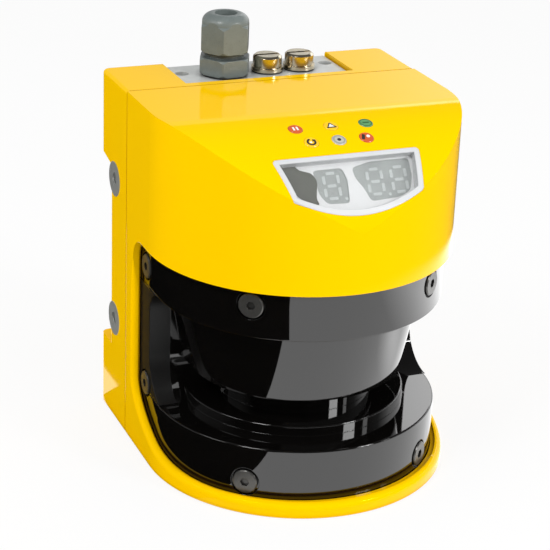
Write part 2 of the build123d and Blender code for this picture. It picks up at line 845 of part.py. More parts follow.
def make_scan_frame():
    """Aluminium frame: back plate, two shelves for the motor and the optics, and four ears."""
    width = cover_radius - cover_gap
    frame = box_between((-width, frame_back_y, frame_low_z), (width, frame_rear_y, top_plate_z + 5))
    upper = box_between((-pillar_x - 8, frame_back_y, top_plate_z),
                        (pillar_x + 8, frame_rear_y, frame_back_top))
    frame = frame + upper
    frame = frame + d_block(frame_radius, 0, frame_back_y, frame_low_z, motor_z)
    frame = frame + d_block(frame_radius, 0, frame_back_y, top_plate_z - frame_plate, top_plate_z)
    ear_front = web_front_y + cover_wall + frame_gap
    for side in (-1, 1):
        low, high = sorted((side * (frame_radius - frame_ear_width), side * frame_radius))
        frame = frame + box_between((low, ear_front, cover_screw_rear_low_z - 5),
                                    (high, frame_back_y, cover_screw_rear_low_z + 5))
        frame = frame + box_between((low, ear_front, cover_screw_rear_high_z - 5),
                                    (high, frame_back_y, top_plate_z - 1))
    frame = frame - disc(lens_bore_radius, top_plate_z - frame_plate + lens_seat_height, top_plate_z + 1)
    frame = frame - disc(lens_seat_radius, top_plate_z - frame_plate - 1, top_plate_z + 1)
    for point, direction in cover_screw_axes():
        start = along(point, direction, -screw_pocket_depth - screw_shank_length - 0.5)
        frame = frame - rod(screw_hole_radius, start, direction, screw_shank_length + 3)
    for x in (-pillar_x, pillar_x):
        for z in (pillar_low_z, pillar_high_z):
            start = (x, frame_back_y - 1, z)
            frame = frame - rod(screw_hole_radius, start, (0, 1, 0), 10)
    return frame - box_between((-28, frame_back_y - 1, top_plate_z + 12),
                               (28, frame_rear_y + 1, frame_back_top - 14))


def make_frame_screws():
    """Four screws that hold the scan frame to the rear shell's pillars."""
    screws = []
    for x in (-pillar_x, pillar_x):
        for z in (pillar_low_z, pillar_high_z):
            head = rod(frame_head_radius, (x, frame_back_y, z), (0, -1, 0), frame_head_height)
            top = Plane(origin=(x, frame_back_y - frame_head_height, z), z_dir=(0, -1, 0))
            socket = top * extrude(RegularPolygon(frame_head_radius / 2, 6), amount=-frame_head_height / 2)
            shank = rod(screw_shank_radius, (x, frame_back_y, z), (0, 1, 0), frame_screw_length)
            screws.append(head - socket + shank)
    return Compound(screws)


# Motor

def motor_heights():
    """Heights of the motor's pieces above its flange."""
    flange = motor_z + motor_flange_thickness
    tube_top = flange + motor_tube_height
    return flange, tube_top


def make_motor_base():
    """Motor flange with its bearing tube."""
    flange, tube_top = motor_heights()
    outer = bearing_radius + motor_tube_wall
    base = disc(motor_flange_radius, motor_z, flange) + disc(outer, motor_z, tube_top)
    return base - disc(bearing_radius + 0.01, motor_z - 1, tube_top + 1)


def make_motor_bearings():
    """Two ball bearings in the motor's tube, each as one ring."""
    tube_top = motor_heights()[1]
    lows = (motor_z + 0.4, tube_top - bearing_width - 0.2)
    return Compound([tube(bearing_radius, shaft_radius + shaft_clearance, low, low + bearing_width)
                     for low in lows])


def make_motor_stator():
    """Toothed stator core on the bearing tube."""
    low = motor_heights()[0] + 2.0
    high = low + stator_height
    inner = bearing_radius + motor_tube_wall + 0.05
    core = tube(inner + 2.6, inner, low, high)
    tooth_half = stator_tooth_width / 2
    tooth = box_between((inner + 2, -tooth_half, low), (stator_radius - 1, tooth_half, high))
    tip = tube(stator_radius, stator_radius - 2, low, high)
    step = 360 / stator_teeth
    gap = box_between((0, -1, low - 1), (stator_radius + 2, 1, high + 1))
    for k in range(stator_teeth):
        core = core + Rot(0, 0, k * step) * tooth
        tip = tip - Rot(0, 0, (k + 0.5) * step) * gap
    return core + tip


def make_motor_coils():
    """A wound coil on each tooth."""
    low = motor_heights()[0] + 2.0
    high = low + stator_height
    inner = bearing_radius + motor_tube_wall + 2.9
    outer = stator_radius - 2.3
    wide = stator_tooth_width / 2
    coil = (box_between((inner, -wide - 1.2, low - 1), (outer, wide + 1.2, high + 1))
            - box_between((inner - 1, -wide - 0.1, low - 0.1), (outer + 1, wide + 0.1, high + 0.1)))
    return Compound([Rot(0, 0, k * 360 / stator_teeth) * coil for k in range(stator_teeth)])


def rotor_heights():
    """Foot, roof and top of the rotor cup."""
    roof = motor_heights()[1] + rotor_gap
    top = roof + rotor_wall
    return top - rotor_height, roof, top


def make_rotor_cup():
    """Outer rotor: cup and hub on the shaft."""
    foot, roof, top = rotor_heights()
    inner = stator_radius + rotor_gap + magnet_thickness
    bore = shaft_radius + 0.01
    cup = turned([(bore, roof), (inner, roof), (inner, foot), (inner + rotor_wall, foot),
                  (inner + rotor_wall, top), (rotor_hub_radius, top),
                  (rotor_hub_radius, top + rotor_hub_height), (bore, top + rotor_hub_height)])
    return cup


def make_rotor_magnet():
    """Magnet ring inside the rotor cup."""
    foot, roof, top = rotor_heights()
    inner = stator_radius + rotor_gap
    return tube(inner + magnet_thickness - 0.02, inner, foot + 0.5, roof - 0.5)


def encoder_z():
    """Underside of the encoder disc."""
    return rotor_heights()[2] + rotor_hub_height


def make_encoder_disc():
    """Slotted disc that reads the mirror's angle."""
    low = encoder_z()
    plate = tube(encoder_radius, shaft_radius + 0.01, low, low + encoder_thickness)
    slot = box_between((encoder_radius - 4, -0.8, low - 1), (encoder_radius - 1.5, 0.8, low + 2))
    for k in range(encoder_slots):
        plate = plate - Rot(0, 0, k * 360 / encoder_slots) * slot
    return plate


def make_motor_shaft():
    """Steel shaft through the bearings, the rotor and the mirror carrier."""
    top = encoder_z() + encoder_thickness + 9.0
    shaft = disc(shaft_radius, motor_z + 0.3, top)
    return chamfer(shaft.edges(), 0.3)


def make_encoder_sensor():
    """Fork sensor round the disc's edge, on the frame's back plate."""
    low = encoder_z()
    high = low + encoder_thickness
    body = box_between((-5, encoder_radius - 4, low - 4), (5, frame_back_y, high + 4))
    slot = box_between((-6, encoder_radius - 5, low - 0.8), (6, encoder_radius + 0.8, high + 0.8))
    return body - slot


# Mirror

def slanted_block(height, radius, low_z):
    """Round block cut off by the 45 degree plane that meets the axis at a height."""
    high_z = height + 2 * radius
    block = disc(radius, low_z, high_z)
    with BuildPart() as cutter:
        with BuildSketch(Plane.YZ):
            with BuildLine():
                Polyline((-2 * radius, height - 2 * radius), (2 * radius, height + 2 * radius),
                         (-2 * radius, height + 2 * radius), close=True)
            make_face()
        extrude(amount=2 * radius, both=True)
    return block - cutter.part


def make_mirror_carrier():
    """Drum cut at 45 degrees that carries the mirror, hollow and open at its back."""
    low = encoder_z() + encoder_thickness
    top = mirror_centre_z - mirror_thickness * sqrt(2)
    drum = slanted_block(top, carrier_radius, low)
    hollow = slanted_block(top - carrier_wall * sqrt(2), carrier_radius - carrier_wall, low + carrier_wall)
    hub = disc(rotor_hub_radius, low, low + 9.0)
    drum = drum - hollow + hub
    drum = drum - disc(shaft_radius + 0.01, low - 1, low + 9.5)
    opening = box_between((-11, 0, low + 8), (11, carrier_radius + 1, mirror_centre_z - 3))
    return drum - (opening & box_between((-11, 10, 0), (11, carrier_radius + 1, 200)))


def make_mirror():
    """Flat mirror lying on the carrier's slope."""
    back = mirror_centre_z - mirror_thickness * sqrt(2)
    low = back - mirror_radius - 1
    block = slanted_block(mirror_centre_z, mirror_radius, low)
    return block - slanted_block(back, mirror_radius + 1, low - 1)


# Receiver and laser

def crown_height(radius, seat, crown):
    """Height over a spherical crown's rim at a radius."""
    sphere = (seat * seat + crown * crown) / (2 * crown)
    return sqrt(sphere ** 2 - radius ** 2) - (sphere - crown)


def make_receiver_lens():
    """Plano-convex lens with a hole for the laser in its middle."""
    low = top_plate_z - frame_plate + lens_seat_height
    hole = laser_radius + laser_hole_gap
    seat = lens_seat_radius - 0.2
    edge = lens_bore_radius - 0.1
    with BuildPart() as lens:
        with BuildSketch(Plane.XZ):
            with BuildLine():
                rim = low + lens_edge
                inner = (hole, rim + crown_height(hole, seat, lens_crown))
                middle = (seat / 2, rim + crown_height(seat / 2, seat, lens_crown))
                Polyline((seat, rim), (edge, rim), (edge, low), (hole, low), inner)
                ThreePointArc(inner, middle, (seat, rim))
            make_face()
        revolve(axis=Axis.Z)
    return lens.part


def make_lens_ring():
    """Ring that holds the lens in its bore."""
    low = top_plate_z - frame_plate + lens_seat_height + lens_edge
    return tube(lens_bore_radius - 0.1, lens_seat_radius, low, top_plate_z)


def make_laser_spider():
    """Three armed holder of the laser module."""
    low = top_plate_z
    high = low + spider_thickness
    hub = laser_radius + 2.7
    spider = tube(spider_outer_radius, lens_bore_radius + 0.5, low, high) + disc(hub, low, high)
    arm = box_between((hub - 1, -2, low), (spider_outer_radius - 1, 2, high))
    for k in range(3):
        spider = spider + Rot(0, 0, 90 + k * 120) * arm
    return spider - disc(laser_radius + 0.02, low - 1, high + 1)


def make_laser_module():
    """Laser tube with a closed head, open below for its lens."""
    body = disc(laser_radius, laser_low_z, laser_low_z + laser_length)
    return body - disc(laser_radius - 1.0, laser_low_z - 1, laser_low_z + 8)


def make_collimator():
    """Small lens in the laser tube's mouth."""
    low = laser_low_z + 1.0
    radius = laser_radius - 1.05
    with BuildPart() as lens:
        with BuildSketch(Plane.XZ):
            with BuildLine():
                rim = low + 1.8
                crown = 1.2
                middle = (radius / 2, rim + crown_height(radius / 2, radius, crown))
                Polyline((0, rim + crown), (0, low), (radius, low), (radius, rim))
                ThreePointArc((radius, rim), middle, (0, rim + crown))
            make_face()
        revolve(axis=Axis.Z)
    return lens.part


def make_laser_board():
    """Round driver board on top of the laser module."""
    low = laser_low_z + laser_length
    return disc(9.5, low, low + 1.6)


def receiver_low_z():
    """Where the receiver's light tube stands."""
    return top_plate_z + spider_thickness


def make_receiver_tube():
    """Tapered light tube from the lens to the receiver board."""
    low = receiver_low_z()
    high = low + receiver_tube_height
    wide = spider_outer_radius
    return turned([(wide, low), (receiver_top_radius, high), (receiver_top_radius - receiver_wall, high),
                   (wide - receiver_wall, low)])


def make_receiver_board():
    """Board with the photodiode over the light tube."""
    low = receiver_low_z() + receiver_tube_height
    board = box_between((-28, -24, low), (28, 24, low + board_thickness))
    return board


def make_photodiode():
    """Metal can under the receiver board."""
    low = receiver_low_z() + receiver_tube_height
    return disc(4.6, low - 4.0, low)


def make_receiver_bracket():
    """Angle that ties the receiver board to the back plate."""
    low = receiver_low_z() + receiver_tube_height + board_thickness
    shelf = box_between((-22, 12, low), (22, frame_back_y, low + 2))
    return shelf + box_between((-22, frame_back_y - 2, low), (22, frame_back_y, low + 12))


# Contamination sensors

def sensor_angles():
    """Angles of the sensors under the cover's inner step."""
    return [-75, -45, -15, 15, 45, 75]


def make_sensor_board():
    """Curved board under the flange."""
    low = motor_z + 3.0
    outside = d_block(frame_radius - 1.5, 0, 12, low, low + board_thickness)
    inside = d_block(frame_radius - 12, 0, 13, low - 1, low + 3)
    return outside - inside


def make_sensor_posts():
    """Spacers between the lower shelf and the sensor board."""
    radius = frame_radius - 6.5
    return Compound([disc(2.5, motor_z, motor_z + 3.0, radius * sin(radians(a)), -radius * cos(radians(a)))
                     for a in (-60, -30, 0, 30, 60)])


def make_dirt_sensors():
    """Optical sensors that look up at the screen."""
    low = motor_z + 3.0 + board_thickness
    radius = frame_radius - 6.5
    return Compound([disc(2.2, low, flange_top - cover_wall - 0.4, radius * sin(radians(a)),
                          -radius * cos(radians(a))) for a in sensor_angles()])


# Display

def make_display_bezel():
    """Pale frame of the display, flush with the brow."""
    skin = hood_block(0) - hood_block(bezel_depth)
    ring = window_prism(0, bezel_depth + shell_wall) - window_prism(bezel_width, bezel_depth + shell_wall + 5)
    return ring & skin


def make_display_window():
    """Clear window inside the frame, a little sunk."""
    skin = hood_block(window_sink) - hood_block(window_sink + window_thickness)
    return window_prism(bezel_width + 0.05, bezel_depth + shell_wall) & skin


def make_display_board():
    """Board behind the window that also carries the lamps."""
    middle = (board_low + board_high) / 2
    plane = window_plane.offset(-board_depth)
    board = plane * Pos(0, middle, 0) * Box(2 * board_half_width, board_high - board_low, board_thickness,
                                            align=(Align.CENTER, Align.CENTER, Align.MIN))
    return board


def make_digits():
    """Three seven segment modules behind the window."""
    plane = window_plane.offset(-board_depth + board_thickness)
    modules = []
    for k in (0, 1, 2):
        case = plane * Pos((k - 0.4) * digit_pitch, 2, 0) * Box(
            digit_width, digit_height, digit_depth, align=(Align.CENTER, Align.CENTER, Align.MIN))
        modules.append(case)
    return Compound(modules)


def lamp_length(point, direction):
    """Distance from a lamp's face down to the display board."""
    top = Vector(*window_plane.offset(-board_depth + board_thickness).origin)
    normal = Vector(*window_normal)
    return (Vector(*point) - top).dot(normal) / Vector(*direction).dot(normal)


def lamp(index):
    """One signal lamp: a light pipe from the brow down to the board."""
    point, direction = lamp_places()[index]
    length = lamp_length(point, direction) + lamp_sink
    start = along(point, direction, lamp_sink)
    pipe = rod(lamp_radius, start, tuple(-d for d in direction), length)
    pipe = pipe - lamp_foot_space()
    return chamfer(pipe.edges().filter_by(GeomType.CIRCLE), lamp_sink)


def lamp_foot_space():
    """Space below the display board's upper face, where no lamp reaches."""
    return window_plane.offset(-board_depth + board_thickness) * Box(
        200, 200, 50, align=(Align.CENTER, Align.CENTER, Align.MAX))


def lamps(*indexes):
    """The lamps of one colour."""
    pipes = [lamp(index) for index in indexes]
    return pipes[0] if len(pipes) == 1 else Compound(pipes)


# System plug

def make_system_plug():
    """Plug housing that fills the recess, with threads for the gland and the blanking plugs."""
    side = recess_half_width - plug_gap
    front = recess_front_y + plug_gap
    rear = back_y - plug_gap
    block = box_between((-side, front, plug_low_z), (side, rear, plug_top_z))
    block = fillet(block.edges().filter_by(Axis.Z), 1.5)
    block = chamfer(block.edges().group_by(Axis.Z)[-1], 0.8)
    block = block - box_between((-side + plug_wall, front + plug_wall, plug_low_z - 1),
                                (side - plug_wall, rear - plug_wall, plug_top_z - plug_top_thickness))
    block = block - disc(gland_thread_radius + 0.05, plug_top_z - 20, plug_top_z + 1, gland_x, gland_y)
    for x, y in blank_places:
        block = block - disc(blank_thread_radius + 0.05, plug_top_z - 20, plug_top_z + 1, x, y)
    for side_sign in (-1, 1):
        x = side_sign * plug_screw_x
        block = block + disc(plug_screw_head_radius + 1.4, plug_low_z, plug_top_z - 1, x, plug_screw_y)
        block = block - disc(plug_screw_head_radius + 0.2, plug_top_z - 6, plug_top_z + 1, x, plug_screw_y)
        block = block - disc(plug_screw_radius + 0.1, plug_low_z - 1, plug_top_z, x, plug_screw_y)
    return block


def make_plug_seal():
    """Seal between the plug and the tub's floor."""
    side = recess_half_width - plug_gap
    front = recess_front_y + plug_gap
    rear = back_y - plug_gap
    ring = box_between((-side + 0.3, front + 0.3, tub_floor_z), (side - 0.3, rear - 0.3, plug_low_z))
    inner = box_between((-side + 2.8, front + 2.8, tub_floor_z - 1), (side - 2.8, rear - 2.8, plug_low_z + 1))
    ring = ring - inner
    return ring


def make_plug_screws():
    """Two captive screws of the plug."""
    screws = []
    for side in (-1, 1):
        x = side * plug_screw_x
        seat = plug_top_z - 6
        head = disc(plug_screw_head_radius, seat, seat + 3.2, x, plug_screw_y)
        slot = box_between((x - 5, plug_screw_y - 0.6, seat + 2.0), (x + 5, plug_screw_y + 0.6, seat + 4))
        shank = disc(plug_screw_radius, tub_floor_z - 9, seat, x, plug_screw_y)
        screws.append(head - slot + shank)
    return Compound(screws)


def pin_places():
    """The header's pins in two rows."""
    span = (pin_count - 1) * pin_pitch / 2
    middle = (header_front_y + header_rear_y) / 2
    return [(k * pin_pitch - span, middle + row) for k in range(pin_count) for row in (-2.5, 2.5)]


def make_plug_header():
    """Insulating block of the plug's connector, through the tub's floor."""
    low = tub_floor_z - plug_wall - 0.2
    block = box_between((-header_half_width, header_front_y, low),
                        (header_half_width, header_rear_y, low + 7))
    flange = box_between((-header_half_width - 8, header_front_y - 4, low + 4.4),
                         (header_half_width + 8, header_rear_y + 4, low + 7))
    block = block + flange
    for x, y in pin_places():
        block = block - box_between((x - 0.52, y - 0.52, low - 1), (x + 0.52, y + 0.52, low + 8))
    return block


def make_plug_pins():
    """Contact pins of the plug."""
    low = tub_floor_z - plug_wall - 0.2
    half = pin_width / 2
    return Compound([box_between((x - half, y - half, low - 5.5), (x + half, y + half, low + pin_length))
                     for x, y in pin_places()])


def interface_z():
    """Top face of the interface board."""
    return tub_floor_z - plug_wall - 0.4 - socket_height


def make_socket():
    """Socket on the interface board that takes the plug's pins."""
    low = interface_z()
    high = low + socket_height
    block = box_between((-header_half_width, header_front_y + 2, low),
                        (header_half_width, header_rear_y - 2, high))
    for x, y in pin_places():
        block = block - box_between((x - 0.6, y - 0.6, low + 1), (x + 0.6, y + 0.6, high + 1))
    return block


def make_interface_board():
    """Board under the tub that joins the plug to the main board."""
    top = interface_z()
    rear = back_y - shell_wall - interface_margin
    return box_between((-interface_half_width, main_board_y, top - board_thickness),
                       (interface_half_width, rear, top))


def make_interface_posts():
    """Four spacers that hang the interface board from the tub."""
    top = tub_floor_z - plug_wall
    places = [(side * x, back_y - inset) for side in (-1, 1)
              for x, inset in ((front_post_x, front_post_inset), (rear_post_x, rear_post_inset))]
    return Compound([disc(post_radius, interface_z(), top, x, y) for x, y in places])


# Gland and blanking plugs

def hexagon(x, y, low, high, flats, angle):
    """Upright hexagon prism, with one corner at an angle from the front."""
    shape = RegularPolygon(flats / 2, 6, major_radius=False)
    return Pos(x, y, low) * Rot(0, 0, angle - 90) * extrude(shape, amount=high - low)


def gland_heights():
    """Heights of the gland's hexagon, neck and nut."""
    hex_low = plug_top_z + gland_washer_height
    hex_high = hex_low + gland_hex_height
    nut_low = hex_high + gland_neck_height
    return hex_low, hex_high, nut_low, nut_low + gland_nut_height


def make_gland_body():
    """Gland body: thread, hexagon and collar."""
    hex_low, hex_high, nut_low, nut_high = gland_heights()
    body = disc(gland_thread_radius, plug_top_z - gland_thread_length, hex_low, gland_x, gland_y)
    nut = hexagon(gland_x, gland_y, hex_low, hex_high, gland_flats, gland_corner_angle)
    flats = gland_flats / 2
    crown = turned([(0, hex_low), (flats + 0.7, hex_low), (flats + 1.6, hex_low + 1.2),
                    (flats + 1.6, hex_high - 1.2), (flats + 0.7, hex_high), (0, hex_high)])
    nut = nut & (Pos(gland_x, gland_y, 0) * crown)
    collar = disc(gland_neck_radius, hex_high - 0.5, nut_low + gland_collar_height, gland_x, gland_y)
    body = body + nut + collar
    body = body - disc(gland_bore_radius, plug_top_z - 30, nut_high, gland_x, gland_y)
    seat = nut_low + gland_collar_height - seal_length + 3
    return body - disc(gland_neck_radius - 1.8, seat, nut_high, gland_x, gland_y)


def make_gland_washer():
    """Flat washer under the gland."""
    return tube(gland_flats / 2 - 0.4, gland_thread_radius + 0.1, plug_top_z,
                plug_top_z + gland_washer_height, gland_x, gland_y)


def make_gland_seal():
    """Rubber ring that grips the cable."""
    hex_low, hex_high, nut_low, nut_high = gland_heights()
    low = nut_low + gland_collar_height - seal_length + 3.1
    return tube(gland_neck_radius - 1.9, cable_radius, low, low + seal_length, gland_x, gland_y)


def make_gland_nut():
    """Six sided cap nut with a domed top."""
    hex_low, hex_high, nut_low, nut_high = gland_heights()
    flats = gland_nut_flats / 2
    dome_low = nut_high - gland_dome_height
    nut = hexagon(gland_x, gland_y, nut_low, nut_high, gland_nut_flats, gland_corner_angle)
    with BuildPart() as form:
        with BuildSketch(Plane.XZ):
            with BuildLine():
                Polyline((gland_mouth_radius + 1.5, nut_high), (0, nut_high), (0, nut_low),
                         (flats + 0.6, nut_low), (flats + 1.8, nut_low + 1.6),
                         (flats + 1.8, dome_low - 1.5), (flats + 0.4, dome_low))
                ThreePointArc((flats + 0.4, dome_low), (flats - 1.0, dome_low + gland_dome_height * 0.68),
                              (gland_mouth_radius + 1.5, nut_high))
            make_face()
        revolve(axis=Axis.Z)
    nut = nut & (Pos(gland_x, gland_y, 0) * form.part)
    inner = gland_neck_radius + gland_fit
    nut = nut - disc(inner, nut_low - 1, nut_low + gland_collar_height + 1.2, gland_x, gland_y)
    nut = nut - disc(gland_neck_radius - 1.7, nut_low, nut_low + gland_collar_height + 4.2, gland_x, gland_y)
    return nut - disc(gland_mouth_radius, nut_low, nut_high + 1, gland_x, gland_y)


def blanking_plug(x, y):
    """Metal plug that closes an unused cable entry."""
    low = plug_top_z + blank_seal_height
    flange = disc(blank_flange_radius, low, low + blank_flange_height, x, y)
    top = low + blank_flange_height + blank_head_height
    head = chamfer(disc(blank_head_radius, low, top, x, y).edges().sort_by(Axis.Z)[-1], 1.0)
    thread = disc(blank_thread_radius, plug_top_z - blank_thread_length, low, x, y)
    slot = box_between((x - 12, y - blank_slot_width / 2, top - blank_slot_depth),
                       (x + 12, y + blank_slot_width / 2, top + 1))
    return flange + head + thread - slot


def make_blanking_plugs():
    """The two metal blanking plugs."""
    return Compound([blanking_plug(x, y) for x, y in blank_places])


def make_blanking_seals():
    """Seal ring under each blanking plug."""
    return Compound([tube(blank_flange_radius - 0.3, blank_thread_radius + 0.1, plug_top_z,
                          plug_top_z + blank_seal_height, x, y) for x, y in blank_places])


# Boards in the rear shell

def make_main_board():
    """Upright main board behind the scan frame."""
    return box_between((-main_board_half_width, main_board_y, main_board_low_z),
                       (main_board_half_width, main_board_y + board_thickness, main_board_high_z))


def make_board_standoffs():
    """Spacers between the scan frame and the main board."""
    return Compound([rod(standoff_radius, (x, frame_rear_y, z), (0, 1, 0), main_board_y - frame_rear_y)
                     for x, z in standoff_places])


def make_board_chips():
    """Larger parts on the main board."""
    rear = main_board_y + board_thickness
    return Compound([box_between((x - w / 2, rear, z - h / 2), (x + w / 2, rear + d, z + h / 2))
                     for x, z, w, h, d in chips])


def make_parts():
    """Every node by name."""
    return {
        "front_housing": make_front_housing(),
        "rear_housing": make_rear_housing(),
        "housing_seal": make_housing_seal(),
        "housing_screws": make_housing_screws(),
        "side_inserts": make_side_inserts(),
        "optics_cover": make_optics_cover(),
        "cover_screws": make_cover_screws(),
        "cover_upper_seal": make_upper_seal(),
        "cover_lower_seal": make_lower_seal(),
        "scan_frame": make_scan_frame(),
        "frame_screws": make_frame_screws(),
        "motor_base": make_motor_base(),
        "motor_bearings": make_motor_bearings(),
        "motor_stator": make_motor_stator(),
        "motor_coils": make_motor_coils(),
        "motor_shaft": make_motor_shaft(),
        "rotor_cup": make_rotor_cup(),
        "rotor_magnet": make_rotor_magnet(),
        "encoder_disc": make_encoder_disc(),
        "encoder_sensor": make_encoder_sensor(),
        "mirror_carrier": make_mirror_carrier(),
        "mirror": make_mirror(),
        "receiver_lens": make_receiver_lens(),
        "lens_ring": make_lens_ring(),
        "laser_spider": make_laser_spider(),
        "laser_module": make_laser_module(),
        "collimator_lens": make_collimator(),
        "laser_board": make_laser_board(),
        "receiver_tube": make_receiver_tube(),
        "receiver_board": make_receiver_board(),
        "photodiode": make_photodiode(),
        "receiver_bracket": make_receiver_bracket(),
        "sensor_board": make_sensor_board(),
        "sensor_posts": make_sensor_posts(),
        "dirt_sensors": make_dirt_sensors(),
        "display_bezel": make_display_bezel(),
        "display_window": make_display_window(),
        "display_board": make_display_board(),
        "display_digits": make_digits(),
        "system_plug": make_system_plug(),
        "plug_seal": make_plug_seal(),
        "plug_screws": make_plug_screws(),
        "plug_header": make_plug_header(),
        "plug_pins": make_plug_pins(),
        "plug_socket": make_socket(),
        "interface_board": make_interface_board(),
        "interface_posts": make_interface_posts(),
        "gland_body": make_gland_body(),
        "gland_washer": make_gland_washer(),
        "gland_seal": make_gland_seal(),
        "gland_nut": make_gland_nut(),
        "blanking_plugs": make_blanking_plugs(),
        "blanking_seals": make_blanking_seals(),
        "main_board": make_main_board(),
        "board_standoffs": make_board_standoffs(),
        "board_chips": make_board_chips(),
        "lamps_red": lamps(0, 5),
        "lamps_yellow": lamps(1, 3),
        "lamp_green": lamps(2),
        "lamp_white": lamps(4),
    }


def main():
    os.makedirs("parts", exist_ok=True)
    for name, shape in make_parts().items():
        export_step(shape, f"parts/{name}.step")


if __name__ == "__main__":
    main()
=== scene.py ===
import json
import math

import bmesh
import bpy
from mathutils import Matrix, Vector


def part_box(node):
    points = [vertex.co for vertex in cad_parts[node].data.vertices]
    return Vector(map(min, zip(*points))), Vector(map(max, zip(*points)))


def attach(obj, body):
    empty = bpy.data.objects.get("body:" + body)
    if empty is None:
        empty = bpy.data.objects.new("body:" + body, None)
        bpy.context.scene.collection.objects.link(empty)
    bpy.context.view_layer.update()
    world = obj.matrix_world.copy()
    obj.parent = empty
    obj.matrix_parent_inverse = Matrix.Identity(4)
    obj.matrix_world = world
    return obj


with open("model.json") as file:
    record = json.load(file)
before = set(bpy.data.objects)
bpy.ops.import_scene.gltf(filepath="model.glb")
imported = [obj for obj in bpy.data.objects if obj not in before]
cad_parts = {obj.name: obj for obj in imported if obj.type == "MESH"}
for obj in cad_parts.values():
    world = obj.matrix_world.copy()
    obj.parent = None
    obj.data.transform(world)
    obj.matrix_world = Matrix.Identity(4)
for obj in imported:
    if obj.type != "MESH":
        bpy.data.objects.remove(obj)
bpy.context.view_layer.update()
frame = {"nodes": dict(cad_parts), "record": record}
nodes = frame["nodes"]
MM = 0.001

# Camera, fitted to the photograph: angles in degrees, lengths in millimetres, the rest in pixels
FRAME_SIZE = 550.0
CAMERA_AZIMUTH = -22.88
CAMERA_ELEVATION = 22.43
CAMERA_ROLL = 2.28
CAMERA_DISTANCE = 924.5
CAMERA_FOCUS = 1840.2
CAMERA_SIDE = -10.8
CAMERA_HEIGHT = 93.5
SENSOR = 36.0

# Brow and display, as in the CAD, in millimetres
BROW_Y, BROW_Z, BROW_RADIUS = -12.24, 108.87, 76.15
WINDOW_TOP_Y, WINDOW_BOTTOM_Y = -50.5, -74.0
LAMP_TOP = 0.3
PRINT_THICKNESS, PRINT_EDGE = 0.12, 0.02
LAMP_ROWS = ((-32.2, (-18.0, 0.0, 18.0)), (-42.4, (-14.0, 0.0, 14.0)))

# Places of the threads, as in the CAD, in millimetres
GLAND_X, GLAND_Y, GLAND_NECK = -18.4, 61.0, 10.2
INSERT_X, INSERT_Y, INSERT_LEVELS = 77.5, 58.0, ((56.0, "low"), (133.0, "high"))
REAR_X, REAR_Y, REAR_LEVELS = 40.0, 80.0, ((50.0, "low"), (120.0, "high"))
THREAD_STEPS, THREAD_RUN_OUT = 36, 12        # steps to a turn, and steps over which an end fades
THREAD_OVERLAP = 0.02                        # how deep a ridge's root sits in the wall
THREAD_ROOT, THREAD_CREST = 0.42, 0.06       # half the ridge's width, as a share of the pitch

# The left web of the cover, in metres: beyond this radius and between these levels it is matt
WEB_RADIUS, WEB_BOTTOM, WEB_TOP, WEB_FADE = 0.0630, 0.0328, 0.0890, 0.0006
WEB_ROUGHNESS = 0.5
# Reach of the painted shade in crevices and recesses, in metres
PAINTED_SHADE_REACH = 4 * MM

# Light levels: 1 is the level at which a colour renders as it is written
AMBIENT = 0.74
KEY = 0.12
STRIP = 0.34
STRIP_EDGE = 0.04
SIDE_SOFTBOX = 0.26
LEFT_SOFTBOX = 0.1
FLOOR_NEAR, FLOOR_RIGHT, FLOOR_FAR = 1.5, 2.7, 0.12     # how bright reflections show the floor
FLOOR_RIGHT_START, FLOOR_RIGHT_END = 0.2, 0.29          # in metres: where it grows brighter to the right
FLOOR_EDGE, FLOOR_FADE = 0.345, 0.01                    # in metres: beyond it reflections meet a dark room
FLOOR_SPOT = (0.152, -0.048, 0.0)                       # a brighter place, mirrored in the cone's right end
SPOT_START, SPOT_END, SPOT = 0.012, 0.05, 1.7
FLOOR_GLOW = 0.85                                       # share of plain white that the camera sees
CEILING = 0.1
BACKDROP_TOP = 27.0        # elevation up to which reflections meet the pale backdrop
# The backdrop's level in reflections by azimuth from the rear, positive to the right, in degrees
BACKDROP = ((-180, 0.03), (-100, 0.03), (-80, 0.45), (17, 0.45), (25, 0.95), (29, 1.7), (80, 1.7),
            (100, 0.3), (125, 0.03), (180, 0.03))
BAND_AZIMUTH, BAND_ELEVATION, BAND = 24.5, 23.5, 2.2    # beyond these angles the backdrop is brighter
HORIZON_FADE, BAND_FADE = 0.012, 0.004


# Shader helpers

